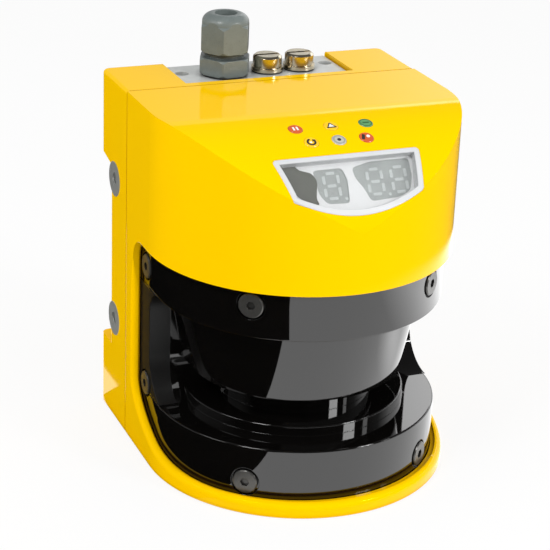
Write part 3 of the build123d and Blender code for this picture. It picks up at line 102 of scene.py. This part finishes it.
class Shader:
    """A node tree with short calls for the nodes used here."""

    def __init__(self, tree, keep=False):
        self.tree = tree
        if not keep:
            self.tree.nodes.clear()

    def node(self, kind, **values):
        made = self.tree.nodes.new(kind)
        for key, value in values.items():
            setattr(made, key, value)
        return made

    def link(self, source, target):
        self.tree.links.new(source, target)

    def put(self, socket, value):
        """Sets a socket to a number or colour, or links it to another socket."""
        if isinstance(value, bpy.types.NodeSocket):
            self.link(value, socket)
        else:
            socket.default_value = value

    def math(self, operation, a, b=0.0):
        made = self.node("ShaderNodeMath", operation=operation)
        self.put(made.inputs[0], a)
        self.put(made.inputs[1], b)
        return made.outputs[0]

    def ramp(self, factor, *stops):
        made = self.node("ShaderNodeValToRGB")
        elements = made.color_ramp.elements
        while len(elements) < len(stops):
            elements.new(0.5)
        for element, (place, colour) in zip(elements, stops):
            element.position = place
            element.color = (*colour, 1.0)
        self.link(factor, made.inputs[0])
        return made.outputs[0]

    def span(self, factor, low, high, to_low, to_high):
        made = self.node("ShaderNodeMapRange")
        self.put(made.inputs["Value"], factor)
        for name, value in (("From Min", low), ("From Max", high), ("To Min", to_low), ("To Max", to_high)):
            made.inputs[name].default_value = value
        return made.outputs["Result"]

    def noise(self, place, scale, detail=2.0, roughness=0.5):
        made = self.node("ShaderNodeTexNoise")
        self.link(place, made.inputs["Vector"])
        made.inputs["Scale"].default_value = scale
        made.inputs["Detail"].default_value = detail
        made.inputs["Roughness"].default_value = roughness
        return made.outputs["Fac"]

    def place(self, stretch=(1.0, 1.0, 1.0)):
        """Object coordinates, stretched where a grain runs one way."""
        place = self.node("ShaderNodeTexCoord").outputs["Object"]
        mapping = self.node("ShaderNodeMapping")
        mapping.inputs["Scale"].default_value = stretch
        self.link(place, mapping.inputs["Vector"])
        return mapping.outputs["Vector"]

    def bump(self, height, depth, normal=None):
        made = self.node("ShaderNodeBump")
        made.inputs["Strength"].default_value = 1.0
        made.inputs["Distance"].default_value = depth
        self.link(height, made.inputs["Height"])
        if normal is not None:
            self.link(normal, made.inputs["Normal"])
        return made.outputs["Normal"]


def tinted(colour, share):
    """A colour made lighter or darker by a share."""
    return tuple(min(1.0, c * share) for c in colour)


def surface(name, colour, roughness, **given):
    """Procedural material: mottled colour, painted shade in crevices, uneven roughness, fine relief and
    softened edges.
    """
    want = dict(metallic=0.0, ior=1.5, variation=0.05, scale=60.0, wear=0.15, relief=0.0,
                relief_scale=900.0, stretch=(1.0, 1.0, 1.0), edge=0.0, dust=0.0, transmission=0.0,
                alpha=1.0, tint=(1.0, 1.0, 1.0))
    want.update(given)
    made = bpy.data.materials.new(name)
    made.use_nodes = True
    s = Shader(made.node_tree)
    place = s.place(want["stretch"])
    mottle = s.noise(place, want["scale"], 3.0)
    fine = s.noise(place, want["scale"] * 7.0, 4.0, 0.6)
    shade = s.node("ShaderNodeBsdfPrincipled")
    stops = [(0.3, tinted(colour, 1.0 - want["variation"])), (0.7, tinted(colour, 1.0 + want["variation"]))]
    base = s.ramp(mottle, *stops)
    # Painted shade: the colour is darkened where ambient occlusion finds a crevice or recess nearby
    if want["dust"]:
        crevice = s.node("ShaderNodeAmbientOcclusion")
        crevice.inputs["Distance"].default_value = PAINTED_SHADE_REACH
        shaded = s.node("ShaderNodeMix", data_type="RGBA", blend_type="MULTIPLY")
        s.link(s.span(crevice.outputs["AO"], 0.3, 0.9, want["dust"], 0.0), shaded.inputs["Factor"])
        s.link(base, shaded.inputs["A"])
        shaded.inputs["B"].default_value = (*tinted(colour, 0.45), 1.0)
        base = shaded.outputs["Result"]
    s.link(base, shade.inputs["Base Color"])
    low, high = roughness * (1 - want["wear"]), roughness * (1 + want["wear"])
    s.link(s.span(fine, 0.3, 0.7, low, high), shade.inputs["Roughness"])
    shade.inputs["Metallic"].default_value = want["metallic"]
    shade.inputs["IOR"].default_value = want["ior"]
    shade.inputs["Specular Tint"].default_value = (*want["tint"], 1.0)
    shade.inputs["Transmission Weight"].default_value = want["transmission"]
    shade.inputs["Alpha"].default_value = want["alpha"]
    normal = None
    if want["edge"]:
        bevel = s.node("ShaderNodeBevel", samples=6)
        bevel.inputs["Radius"].default_value = want["edge"] * MM
        normal = bevel.outputs["Normal"]
    if want["relief"]:
        grain = s.noise(place, want["relief_scale"], 2.0)
        normal = s.bump(grain, want["relief"] * MM, normal)
    if normal is not None:
        s.link(normal, shade.inputs["Normal"])
    s.link(shade.outputs["BSDF"], s.node("ShaderNodeOutputMaterial").inputs["Surface"])
    return made


def ink(name, colour):
    """Even matt print, for the signs on the lamps."""
    return surface(name, colour, 0.45, variation=0.04, scale=300.0)


# Several materials below darken their colour in crevices and recesses: this is painted shade
yellow = surface("yellow_lacquer", (0.95, 0.56, 0.0), 0.07, ior=1.24, variation=0.012, scale=9.0,
                 relief=0.004, relief_scale=420.0, edge=0.35, dust=0.6, tint=(1.0, 0.75, 0.0))
black = surface("black_cover", (0.0025, 0.0022, 0.002), 0.035, ior=1.68, variation=0.1, edge=0.5,
                relief=0.0015, relief_scale=130.0)


def matt_webs(material):
    """Makes the moulded web on the left matt, because it lies behind the cover's polished window."""
    s = Shader(material.node_tree, keep=True)
    shade = next(n for n in material.node_tree.nodes if n.type == "BSDF_PRINCIPLED")
    polished = shade.inputs["Roughness"].links[0].from_socket
    split = s.node("ShaderNodeSeparateXYZ")
    place = s.place()
    s.link(place, split.inputs[0])
    flat = s.node("ShaderNodeVectorMath", operation="MULTIPLY")
    s.link(place, flat.inputs[0])
    flat.inputs[1].default_value = (1.0, 1.0, 0.0)
    reach = s.node("ShaderNodeVectorMath", operation="LENGTH")
    s.link(flat.outputs[0], reach.inputs[0])
    web = s.span(reach.outputs["Value"], WEB_RADIUS, WEB_RADIUS + WEB_FADE, 0.0, 1.0)
    for axis, low, high, start, end in (("Z", WEB_BOTTOM, WEB_BOTTOM + WEB_FADE, 0.0, 1.0),
                                        ("Z", WEB_TOP, WEB_TOP + WEB_FADE, 1.0, 0.0),
                                        ("X", -MM, MM, 1.0, 0.0)):
        web = s.math("MULTIPLY", web, s.span(split.outputs[axis], low, high, start, end))
    s.link(s.math("ADD", polished, s.math("MULTIPLY", web, WEB_ROUGHNESS)), shade.inputs["Roughness"])


matt_webs(black)
MATERIALS = {
    "yellow_housing": yellow,
    "black_cover": black,
    "black_screws": surface("dark_screw", (0.085, 0.083, 0.078), 0.3, metallic=0.6, scale=500.0, edge=0.25,
                            relief=0.01, relief_scale=1500.0, dust=0.7),
    "seal_rubber": surface("rubber", (0.018, 0.018, 0.019), 0.7, relief=0.02, relief_scale=1800.0),
    "screw_steel": surface("zinc_steel", (0.55, 0.55, 0.54), 0.3, metallic=1.0, scale=400.0, edge=0.2,
                           relief=0.006, relief_scale=2000.0),
    "insert_steel": surface("zinc_insert", (0.44, 0.45, 0.43), 0.42, metallic=0.55, scale=300.0, edge=0.3,
                            relief=0.008, relief_scale=900.0, stretch=(0.15, 1.0, 1.0)),
    "frame_aluminium": surface("cast_frame", (0.5, 0.51, 0.52), 0.48, metallic=1.0, scale=120.0,
                               relief=0.04, relief_scale=900.0, edge=0.5),
    "motor_aluminium": surface("turned_aluminium", (0.62, 0.63, 0.64), 0.28, metallic=1.0, scale=200.0,
                               relief=0.006, stretch=(1.0, 1.0, 6.0), edge=0.2),
    "bearing_steel": surface("polished_steel", (0.6, 0.6, 0.61), 0.14, metallic=1.0, scale=200.0, edge=0.1),
    "stator_steel": surface("laminated_steel", (0.2, 0.2, 0.21), 0.5, metallic=1.0, scale=60.0,
                            relief=0.03, relief_scale=160.0, stretch=(0.02, 0.02, 9.0)),
    "coil_copper": surface("coil_copper", (0.65, 0.27, 0.1), 0.3, metallic=1.0, scale=400.0,
                           relief=0.05, relief_scale=260.0, stretch=(1.0, 1.0, 12.0)),
    "magnet_dark": surface("magnet", (0.08, 0.08, 0.085), 0.45, metallic=0.6),
    "encoder_steel": surface("etched_steel", (0.45, 0.46, 0.47), 0.25, metallic=1.0, scale=500.0),
    "sensor_black": surface("black_moulding", (0.014, 0.014, 0.015), 0.42, relief=0.02,
                            relief_scale=1600.0),
    "carrier_black": surface("matt_black", (0.022, 0.022, 0.024), 0.5, relief=0.02, relief_scale=1400.0,
                             edge=0.3),
    "mirror_silver": surface("mirror_silver", (0.86, 0.87, 0.88), 0.02, metallic=1.0, variation=0.01),
    "lens_glass": surface("lens_glass", (0.9, 0.96, 0.94), 0.02, transmission=1.0, variation=0.01,
                          ior=1.52),
    "laser_brass": surface("laser_brass", (0.68, 0.5, 0.22), 0.28, metallic=1.0, scale=300.0, edge=0.2),
    "board_green": surface("board_green", (0.02, 0.17, 0.07), 0.3, scale=350.0, variation=0.25,
                           relief=0.02, relief_scale=700.0),
    "bezel_white": surface("bezel_white", (0.6, 0.61, 0.62), 0.22, variation=0.015, edge=0.3,
                           relief=0.004, relief_scale=600.0),
    "window_clear": surface("window_clear", (0.3, 0.31, 0.31), 0.04, alpha=0.12, variation=0.01, ior=1.49),
    "digit_grey": surface("digit_grey", (0.34, 0.37, 0.37), 0.35, variation=0.06, scale=200.0),
    "plug_grey": surface("plug_casting", (0.58, 0.6, 0.59), 0.34, metallic=0.15, scale=160.0,
                         variation=0.06, relief=0.02, relief_scale=1100.0, edge=0.4, dust=0.5),
    "pin_gold": surface("gold_pins", (0.78, 0.58, 0.24), 0.22, metallic=1.0, scale=500.0),
    "gland_grey": surface("gland_polyamide", (0.15, 0.175, 0.17), 0.3, scale=260.0, variation=0.06,
                          relief=0.012, relief_scale=1500.0, edge=0.5, dust=0.6),
    "plug_brass": surface("nickel_brass", (0.76, 0.68, 0.52), 0.2, metallic=1.0, scale=260.0,
                          variation=0.08, relief=0.006, relief_scale=900.0, edge=0.3, dust=0.6),
    "lamp_red": surface("lamp_red", (0.6, 0.11, 0.035), 0.15, scale=300.0, edge=0.2),
    "lamp_yellow": surface("lamp_yellow", (0.93, 0.56, 0.02), 0.15, scale=300.0, edge=0.2),
    "lamp_green": surface("lamp_green", (0.13, 0.33, 0.14), 0.15, scale=300.0, edge=0.2),
    "lamp_white": surface("lamp_white", (0.5, 0.5, 0.43), 0.15, scale=300.0, edge=0.2),
}

slot_of = {part["node"]: part["material_slot"] for part in frame["record"]["subparts"]}
for name, node in nodes.items():
    node.data.materials.clear()
    node.data.materials.append(MATERIALS[slot_of[name]])


# Pieces

def finish_piece(piece, material):
    """Gives a piece its material, and lets it ride on the scanner."""
    piece.data.materials.clear()
    piece.data.materials.append(material)
    bpy.context.scene.collection.objects.link(piece)
    bpy.context.view_layer.update()
    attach(piece, "scanner")
    return piece


def plate(name, outlines, plane, thickness, material, bevel=0.0):
    """Flat plate with holes, from closed outlines in millimetres on a plane."""
    curve = bpy.data.curves.new(name, "CURVE")
    curve.dimensions = "2D"
    curve.fill_mode = "BOTH"
    curve.extrude = thickness / 2
    curve.bevel_depth = bevel
    curve.bevel_resolution = 2
    for outline in outlines:
        spline = curve.splines.new("POLY")
        spline.points.add(len(outline) - 1)
        for point, (u, v) in zip(spline.points, outline):
            point.co = (u, v, thickness / 2, 1.0)
        spline.use_cyclic_u = True
    shape = bpy.data.objects.new(name + "_outline", curve)
    bpy.context.scene.collection.objects.link(shape)
    bpy.context.view_layer.update()
    mesh = bpy.data.meshes.new_from_object(shape.evaluated_get(bpy.context.evaluated_depsgraph_get()))
    bpy.data.objects.remove(shape)
    mesh.transform(plane @ Matrix.Scale(MM, 4))
    mesh.name = name
    return finish_piece(bpy.data.objects.new(name, mesh), material)


def plane_at(origin, normal, across=(1.0, 0.0, 0.0)):
    """Matrix of a plane: its origin in millimetres, normal and first direction."""
    z = Vector(normal).normalized()
    x = Vector(across)
    x = (x - z * x.dot(z)).normalized()
    y = z.cross(x)
    matrix = Matrix((x, y, z)).transposed().to_4x4()
    matrix.translation = Vector(origin) * MM
    return matrix


def circle(u, v, radius, count=40, start=0.0, turn=360.0):
    """Points of an arc or a circle."""
    whole = turn >= 360.0
    steps = count if whole else count - 1
    angles = [math.radians(start + turn * k / steps) for k in range(count)]
    return [(u + radius * math.cos(a), v + radius * math.sin(a)) for a in angles]


def bar(u, v, length, width, angle=0.0):
    """Rectangle about a point."""
    a = math.radians(angle)
    corners = [(-length, -width), (length, -width), (length, width), (-length, width)]
    return [(u + (x * math.cos(a) - y * math.sin(a)) / 2, v + (x * math.sin(a) + y * math.cos(a)) / 2)
            for x, y in corners]


def rounded(points, radius, count=6):
    """Outline with every corner rounded off."""
    made = []
    for k, corner in enumerate(points):
        here = Vector(corner)
        before, after = Vector(points[k - 1]), Vector(points[(k + 1) % len(points)])
        back, on = (before - here), (after - here)
        cut = min(radius, back.length * 0.45, on.length * 0.45)
        start, end = here + back.normalized() * cut, here + on.normalized() * cut
        for j in range(count + 1):
            t = j / count
            made.append(tuple(start * (1 - t) ** 2 + here * 2 * t * (1 - t) + end * t ** 2))
    return made


def brow_height(y):
    return BROW_Z + math.sqrt(BROW_RADIUS ** 2 - (y - BROW_Y) ** 2)


# Display
window_top = Vector((0.0, WINDOW_TOP_Y, brow_height(WINDOW_TOP_Y)))
window_bottom = Vector((0.0, WINDOW_BOTTOM_Y, brow_height(WINDOW_BOTTOM_Y)))
window_up = (window_top - window_bottom).normalized()
window_normal = Vector((1.0, 0.0, 0.0)).cross(window_up)


def window_level(depth):
    """Plane behind the display's chord, in millimetres below it."""
    return plane_at((window_top + window_bottom) / 2 - window_normal * depth, window_normal)


MASK_OUTLINE = rounded([(-34.2, 13.2), (34.2, 13.2), (30.0, -6.0), (17.0, -11.0), (0.0, -12.6),
                        (-17.0, -11.0), (-30.0, -6.0)], 2.0)
LEFT_WINDOW = rounded([(-17.3, 10.6), (-2.4, 10.6), (-1.2, 4.0), (-3.4, -8.0), (-14.6, -7.4),
                       (-17.4, -2.0)], 2.2)
RIGHT_WINDOW = rounded([(2.4, 10.2), (12.0, 12.6), (32.4, 12.6), (31.6, 3.0), (28.4, -4.6), (22.0, -7.4),
                        (7.2, -8.2), (5.4, -1.0), (2.6, 4.6)], 2.2)
DARK_SHAPE = rounded([(-33.4, 15.0), (-26.2, 15.0), (-24.2, 11.2), (-18.2, 8.9), (-16.6, 4.6),
                      (-19.4, -4.2), (-18.6, -7.6), (-24.0, -6.6), (-28.4, -1.4)], 1.4)
BACKING = rounded([(-18.4, 12.0), (33.4, 13.0), (29.6, -6.4), (20.0, -9.4), (-17.0, -9.4)], 1.0)
mask_white = surface("mask_white", (0.9, 0.91, 0.92), 0.35, variation=0.02, scale=120.0)
window_grey = surface("window_grey", (0.42, 0.45, 0.44), 0.3, variation=0.1, scale=90.0)
segment_pale = surface("segment_pale", (0.62, 0.66, 0.66), 0.3, variation=0.05, scale=200.0)
dark_film = surface("dark_film", (0.115, 0.118, 0.098), 0.3, variation=0.08, scale=160.0)
plate("display_mask", [MASK_OUTLINE, LEFT_WINDOW, RIGHT_WINDOW], window_level(3.9), 0.4, mask_white,
      0.08)
plate("digit_backing", [BACKING], window_level(4.3), 0.2, window_grey)
plate("display_film", [DARK_SHAPE], window_level(3.3), 0.3, dark_film, 0.05)


def segments(u, v, width, height, lean=0.12):
    """The seven segments of a digit, leaning a little."""
    t = 1.5
    bars = [bar(0, height / 2, width - 1.9 * t, t), bar(0, 0, width - 1.9 * t, t),
            bar(0, -height / 2, width - 1.9 * t, t)]
    for x in (-width / 2, width / 2):
        for y in (-height / 4, height / 4):
            bars.append(bar(x, y, height / 2 - 1.5 * t, t, 90.0))
    return [rounded([(u + x + lean * y, v + y) for x, y in shape], 0.5, 3) for shape in bars]


digits = []
for u in (-9.6, 12.4, 24.6):
    digits += segments(u, 2.0, 7.2, 13.0)
    digits.append(circle(u + 5.4, -5.2, 0.8, 14))
plate("digit_segments", digits, window_level(4.1), 0.15, segment_pale)

# Signal lamps: small printed signs, one piece for each row and ink
ink_pale = ink("ink_pale", (0.8, 0.8, 0.76))
ink_dark = ink("ink_dark", (0.035, 0.033, 0.03))
ink_grey = ink("ink_grey", (0.3, 0.32, 0.3))
ink_green = ink("ink_green", (0.02, 0.12, 0.03))


def signs(name, y, places, material):
    """Printed signs on a row of lamps: each lamp's place across the row, and its outlines."""
    z = brow_height(y)
    normal = Vector((0.0, y - BROW_Y, z - BROW_Z)).normalized()
    face = plane_at(Vector((0.0, y, z)) + normal * LAMP_TOP, normal)
    outlines = [[(u + x, v) for u, v in shape] for x, shapes in places for shape in shapes]
    plate(name, outlines, face, PRINT_THICKNESS, material, PRINT_EDGE)


high_y, (high_left, high_middle, high_right) = LAMP_ROWS[0]
low_y, (low_left, low_middle, low_right) = LAMP_ROWS[1]
ring = [circle(0, 0, 2.9), circle(0, 0, 2.3)]
thin_ring = [circle(0, 0, 2.95), circle(0, 0, 2.7)]
triangle = rounded([(-2.6, -1.8), (2.6, -1.8), (0.0, 2.6)], 0.5)
inner_triangle = rounded([(-1.6, -1.2), (1.6, -1.2), (0.0, 1.5)], 0.3)
open_ring = circle(0, 0, 2.3, 24, 100, 280) + circle(0, 0, 1.4, 24, 100, 280)[::-1]
arrow_head = [(0.73, 0.34), (2.54, 1.18), (0.85, 1.7)]
signs("signs_pale_high", high_y, [(high_left, [bar(-0.9, 0, 2.6, 0.9, 90), bar(0.9, 0, 2.6, 0.9, 90)]),
                                  (high_middle, [inner_triangle])], ink_pale)
signs("sign_warning", high_y, [(high_middle, [triangle, inner_triangle])], ink_dark)
signs("sign_free", high_y, [(high_right, thin_ring + [rounded(bar(0, 0, 3.2, 0.8), 0.3)])], ink_green)
signs("signs_dark_low", low_y, [(low_left, [open_ring, arrow_head]), (low_middle, [circle(0, 0, 0.9, 24)]),
                                (low_right, [bar(-1.5, 0.3, 3.4, 1.3, 70)])], ink_dark)
signs("signs_pale_low", low_y, [(low_left, [bar(-0.3, -0.2, 1.1, 0.9, 20)]),
                                (low_right, [circle(1.0, 0.5, 0.9, 20)])], ink_pale)
signs("sign_dirt", low_y, [(low_middle, ring)], ink_grey)


# Threads

def thread(name, start, direction, radius, depth, pitch, length, material, turns_out=False):
    """Helical ridge inside a hole, or round a stud where turns_out is set."""
    plane = plane_at(start, direction, (0.0, 1.0, 0.0) if abs(direction[0]) > 0.5 else (1.0, 0.0, 0.0))
    crest = radius + depth if turns_out else radius - depth
    root = radius - THREAD_OVERLAP if turns_out else radius + THREAD_OVERLAP
    count = int(length / pitch * THREAD_STEPS)
    mesh = bmesh.new()
    rows = []
    for k in range(count + 1):
        a = 2 * math.pi * k / THREAD_STEPS
        z = -pitch / 2 - k * pitch / THREAD_STEPS
        fade = min(1.0, k / THREAD_RUN_OUT, (count - k) / THREAD_RUN_OUT)
        tip = root + (crest - root) * fade
        profile = ((root, z + pitch * THREAD_ROOT), (tip, z + pitch * THREAD_CREST),
                   (tip, z - pitch * THREAD_CREST), (root, z - pitch * THREAD_ROOT))
        rows.append([mesh.verts.new((r * math.cos(a), r * math.sin(a), h)) for r, h in profile])
    for one, two in zip(rows, rows[1:]):
        for j in range(4):
            mesh.faces.new((one[j], one[(j + 1) % 4], two[(j + 1) % 4], two[j]))
    mesh.faces.new(rows[0][::-1])
    mesh.faces.new(rows[-1])
    bmesh.ops.recalc_face_normals(mesh, faces=mesh.faces)
    data = bpy.data.meshes.new(name)
    mesh.to_mesh(data)
    mesh.free()
    data.transform(plane @ Matrix.Scale(MM, 4))
    for face in data.polygons:
        face.use_smooth = True
    return finish_piece(bpy.data.objects.new(name, data), material)


for side, word in ((-1, "left"), (1, "right")):
    for z, level in INSERT_LEVELS:
        thread(f"insert_thread_{word}_{level}", (side * INSERT_X, INSERT_Y, z), (side, 0, 0), 3.4, 0.5,
               1.25, 8.6, MATERIALS["insert_steel"])
for side, word in ((-1, "left"), (1, "right")):
    for z, level in REAR_LEVELS:
        thread(f"rear_thread_{word}_{level}", (side * REAR_X, REAR_Y, z), (0, 1, 0), 2.5, 0.4, 1.0, 7.6,
               yellow)
gland_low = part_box("gland_nut")[0].z / MM
thread("gland_neck_thread", (GLAND_X, GLAND_Y, gland_low + 0.3), (0, 0, 1), GLAND_NECK, 0.2, 0.8, 2.8,
       MATERIALS["gland_grey"], True)


# Stage: floor, dark card and backdrop

def stage_mesh(name, points, material):
    """Flat polygon in metres."""
    mesh = bpy.data.meshes.new(name)
    mesh.from_pydata([Vector(p) for p in points], [], [tuple(range(len(points)))])
    mesh.materials.append(material)
    piece = bpy.data.objects.new(name, mesh)
    bpy.context.scene.collection.objects.link(piece)
    return piece


def floor_material():
    """Pale floor that keeps the object's shadow and looks bright in reflections."""
    made = bpy.data.materials.new("pale_floor")
    made.use_nodes = True
    s = Shader(made.node_tree)
    path = s.node("ShaderNodeLightPath").outputs
    place = s.place()
    matt = s.node("ShaderNodeBsdfDiffuse")
    pale = s.ramp(s.noise(place, 5.0), (0.3, (0.84, 0.84, 0.84)), (0.7, (0.86, 0.86, 0.86)))
    s.link(pale, matt.inputs["Color"])
    glow = s.node("ShaderNodeEmission")
    glow.inputs["Strength"].default_value = 1.0
    split = s.node("ShaderNodeSeparateXYZ")
    s.link(place, split.inputs[0])
    reach = s.node("ShaderNodeVectorMath", operation="LENGTH")
    s.link(place, reach.inputs[0])
    level = s.span(split.outputs["X"], FLOOR_RIGHT_START, FLOOR_RIGHT_END, FLOOR_NEAR, FLOOR_RIGHT)
    near = s.span(reach.outputs["Value"], FLOOR_EDGE - FLOOR_FADE, FLOOR_EDGE + FLOOR_FADE, 1.0, 0.0)
    level = s.math("MULTIPLY", level, near)
    spot = s.node("ShaderNodeVectorMath", operation="DISTANCE")
    s.link(place, spot.inputs[0])
    spot.inputs[1].default_value = FLOOR_SPOT
    level = s.math("MULTIPLY", level, s.span(spot.outputs["Value"], SPOT_START, SPOT_END, SPOT, 1.0))
    mirror = s.node("ShaderNodeEmission")
    s.link(s.math("ADD", level, FLOOR_FAR), mirror.inputs["Strength"])
    seen = s.node("ShaderNodeMixShader")
    s.link(s.math("MULTIPLY", path["Is Camera Ray"], FLOOR_GLOW), seen.inputs["Fac"])
    s.link(matt.outputs[0], seen.inputs[1])
    s.link(glow.outputs[0], seen.inputs[2])
    last = s.node("ShaderNodeMixShader")
    s.link(s.math("MAXIMUM", path["Is Glossy Ray"], path["Is Transmission Ray"]), last.inputs["Fac"])
    s.link(seen.outputs[0], last.inputs[1])
    s.link(mirror.outputs[0], last.inputs[2])
    s.link(last.outputs[0], s.node("ShaderNodeOutputMaterial").inputs["Surface"])
    return made


def card_material():
    """Nearly black card beside the object, seen in reflections alone."""
    made = bpy.data.materials.new("dark_card")
    made.use_nodes = True
    s = Shader(made.node_tree)
    matt = s.node("ShaderNodeBsdfDiffuse")
    s.link(s.ramp(s.noise(s.place(), 8.0), (0.3, (0.002, 0.002, 0.002)), (0.7, (0.004, 0.004, 0.004))),
           matt.inputs["Color"])
    s.link(matt.outputs[0], s.node("ShaderNodeOutputMaterial").inputs["Surface"])
    return made


REACH = 3.0
stage_mesh("floor", [(-REACH, -REACH, -0.0005), (REACH, -REACH, -0.0005), (REACH, REACH, -0.0005),
                     (-REACH, REACH, -0.0005)], floor_material())
CARD_EDGE = ((-66, -30), (-71, -62), (-74, -90), (-78, -122), (-119, -241), (-147, -284), (-420, -900),
             (-2500, -900), (-2500, 900), (-90, 900), (-90, 90), (-79, 82))
card = stage_mesh("dark_card", [(x * MM, y * MM, 0.0) for x, y in CARD_EDGE], card_material())
card.visible_camera = False
card.visible_diffuse = False
card.visible_shadow = False
card.visible_transmission = False

world = bpy.data.worlds.new("studio")
bpy.context.scene.world = world
world.use_nodes = True
s = Shader(world.node_tree)
path = s.node("ShaderNodeLightPath").outputs
direction = s.node("ShaderNodeSeparateXYZ")
s.link(s.node("ShaderNodeTexCoord").outputs["Generated"], direction.inputs[0])
turn = s.math("ARCTAN2", direction.outputs["X"], direction.outputs["Y"])
turn = s.span(turn, -math.pi, math.pi, 0.0, 1.0)
strongest = max(level for _, level in BACKDROP)
stops = [((angle + 180) / 360, (level / strongest,) * 3) for angle, level in BACKDROP]
wall = s.math("MULTIPLY", s.ramp(turn, *stops), strongest)
low = math.sin(math.radians(BAND_ELEVATION))
aside = (BAND_AZIMUTH + 180) / 360
band = s.math("MULTIPLY", s.span(turn, aside, aside + BAND_FADE, 0.0, BAND - 1.0),
              s.span(direction.outputs["Z"], low, low + HORIZON_FADE, 0.0, 1.0))
wall = s.math("MULTIPLY", wall, s.math("ADD", band, 1.0))
edge = math.sin(math.radians(BACKDROP_TOP))
above = s.span(direction.outputs["Z"], edge, edge + HORIZON_FADE, 0.0, 1.0)
level = s.math("MULTIPLY", wall, s.math("SUBTRACT", 1.0, above))
reflected = s.node("ShaderNodeBackground")
s.link(s.math("ADD", level, s.math("MULTIPLY", above, CEILING)), reflected.inputs["Strength"])
ambient = s.node("ShaderNodeBackground")
ambient.inputs["Color"].default_value = (1.0, 1.0, 1.0, 1.0)
ambient.inputs["Strength"].default_value = AMBIENT
shown = s.node("ShaderNodeBackground")
shown.inputs["Color"].default_value = (1.0, 1.0, 1.0, 1.0)
first = s.node("ShaderNodeMixShader")
s.link(s.math("MAXIMUM", path["Is Glossy Ray"], path["Is Transmission Ray"]), first.inputs["Fac"])
s.link(ambient.outputs[0], first.inputs[1])
s.link(reflected.outputs[0], first.inputs[2])
second = s.node("ShaderNodeMixShader")
s.link(path["Is Camera Ray"], second.inputs["Fac"])
s.link(first.outputs[0], second.inputs[1])
s.link(shown.outputs[0], second.inputs[2])
s.link(second.outputs[0], s.node("ShaderNodeOutputWorld").inputs["Surface"])


# Lights

def direction_to(azimuth, elevation):
    """Unit vector from the object: azimuth from the front, positive to the right, in degrees."""
    a, e = math.radians(azimuth), math.radians(elevation)
    return Vector((math.sin(a) * math.cos(e), -math.cos(a) * math.cos(e), math.sin(e)))


def softbox(name, azimuth, elevation, distance, size, level, mirrored=True):
    """Area light aimed at the object, with its level on a surface that faces it."""
    data = bpy.data.lights.new(name, "AREA")
    data.shape = "RECTANGLE"
    data.size, data.size_y = size
    data.energy = level * math.pi ** 2 * distance ** 2
    light = bpy.data.objects.new(name, data)
    aim = Vector((0.0, 0.0, 0.1))
    away = direction_to(azimuth, elevation)
    light.location = aim + away * distance
    light.rotation_mode = "QUATERNION"
    light.rotation_quaternion = away.to_track_quat("Z", "Y")
    light.visible_glossy = mirrored
    bpy.context.scene.collection.objects.link(light)
    return light


softbox("key", 24.0, 38.0, 1.7, (1.1, 0.9), KEY, mirrored=False)
softbox("strip", 39.0, 25.0, 1.5, (0.31, 0.3), STRIP)
softbox("strip_edge", 59.0, 25.0, 1.5, (0.14, 0.3), STRIP_EDGE)
softbox("side_softbox", -60.0, 48.0, 1.5, (0.34, 0.5), SIDE_SOFTBOX)
softbox("left_softbox", -92.0, 38.0, 1.5, (0.5, 0.4), LEFT_SOFTBOX)

# Camera
side_turn, roll = math.radians(CAMERA_AZIMUTH), math.radians(CAMERA_ROLL)
back = direction_to(CAMERA_AZIMUTH, CAMERA_ELEVATION)
right = Vector((math.cos(side_turn), math.sin(side_turn), 0.0))
up = back.cross(right)
camera_right = right * math.cos(roll) + up * math.sin(roll)
camera_up = up * math.cos(roll) - right * math.sin(roll)
data = bpy.data.cameras.new("camera")
data.sensor_width = SENSOR
data.lens = SENSOR * CAMERA_FOCUS / FRAME_SIZE
data.clip_start, data.clip_end = 0.05, 50.0
camera = bpy.data.objects.new("camera", data)
matrix = Matrix((camera_right, camera_up, back)).transposed().to_4x4()
matrix.translation = (right * CAMERA_SIDE + Vector((0, 0, CAMERA_HEIGHT)) + back * CAMERA_DISTANCE) * MM
camera.matrix_world = matrix
bpy.context.scene.collection.objects.link(camera)
bpy.context.scene.camera = camera
bpy.context.scene.view_settings.view_transform = "Standard"

bpy.context.view_layer.update()
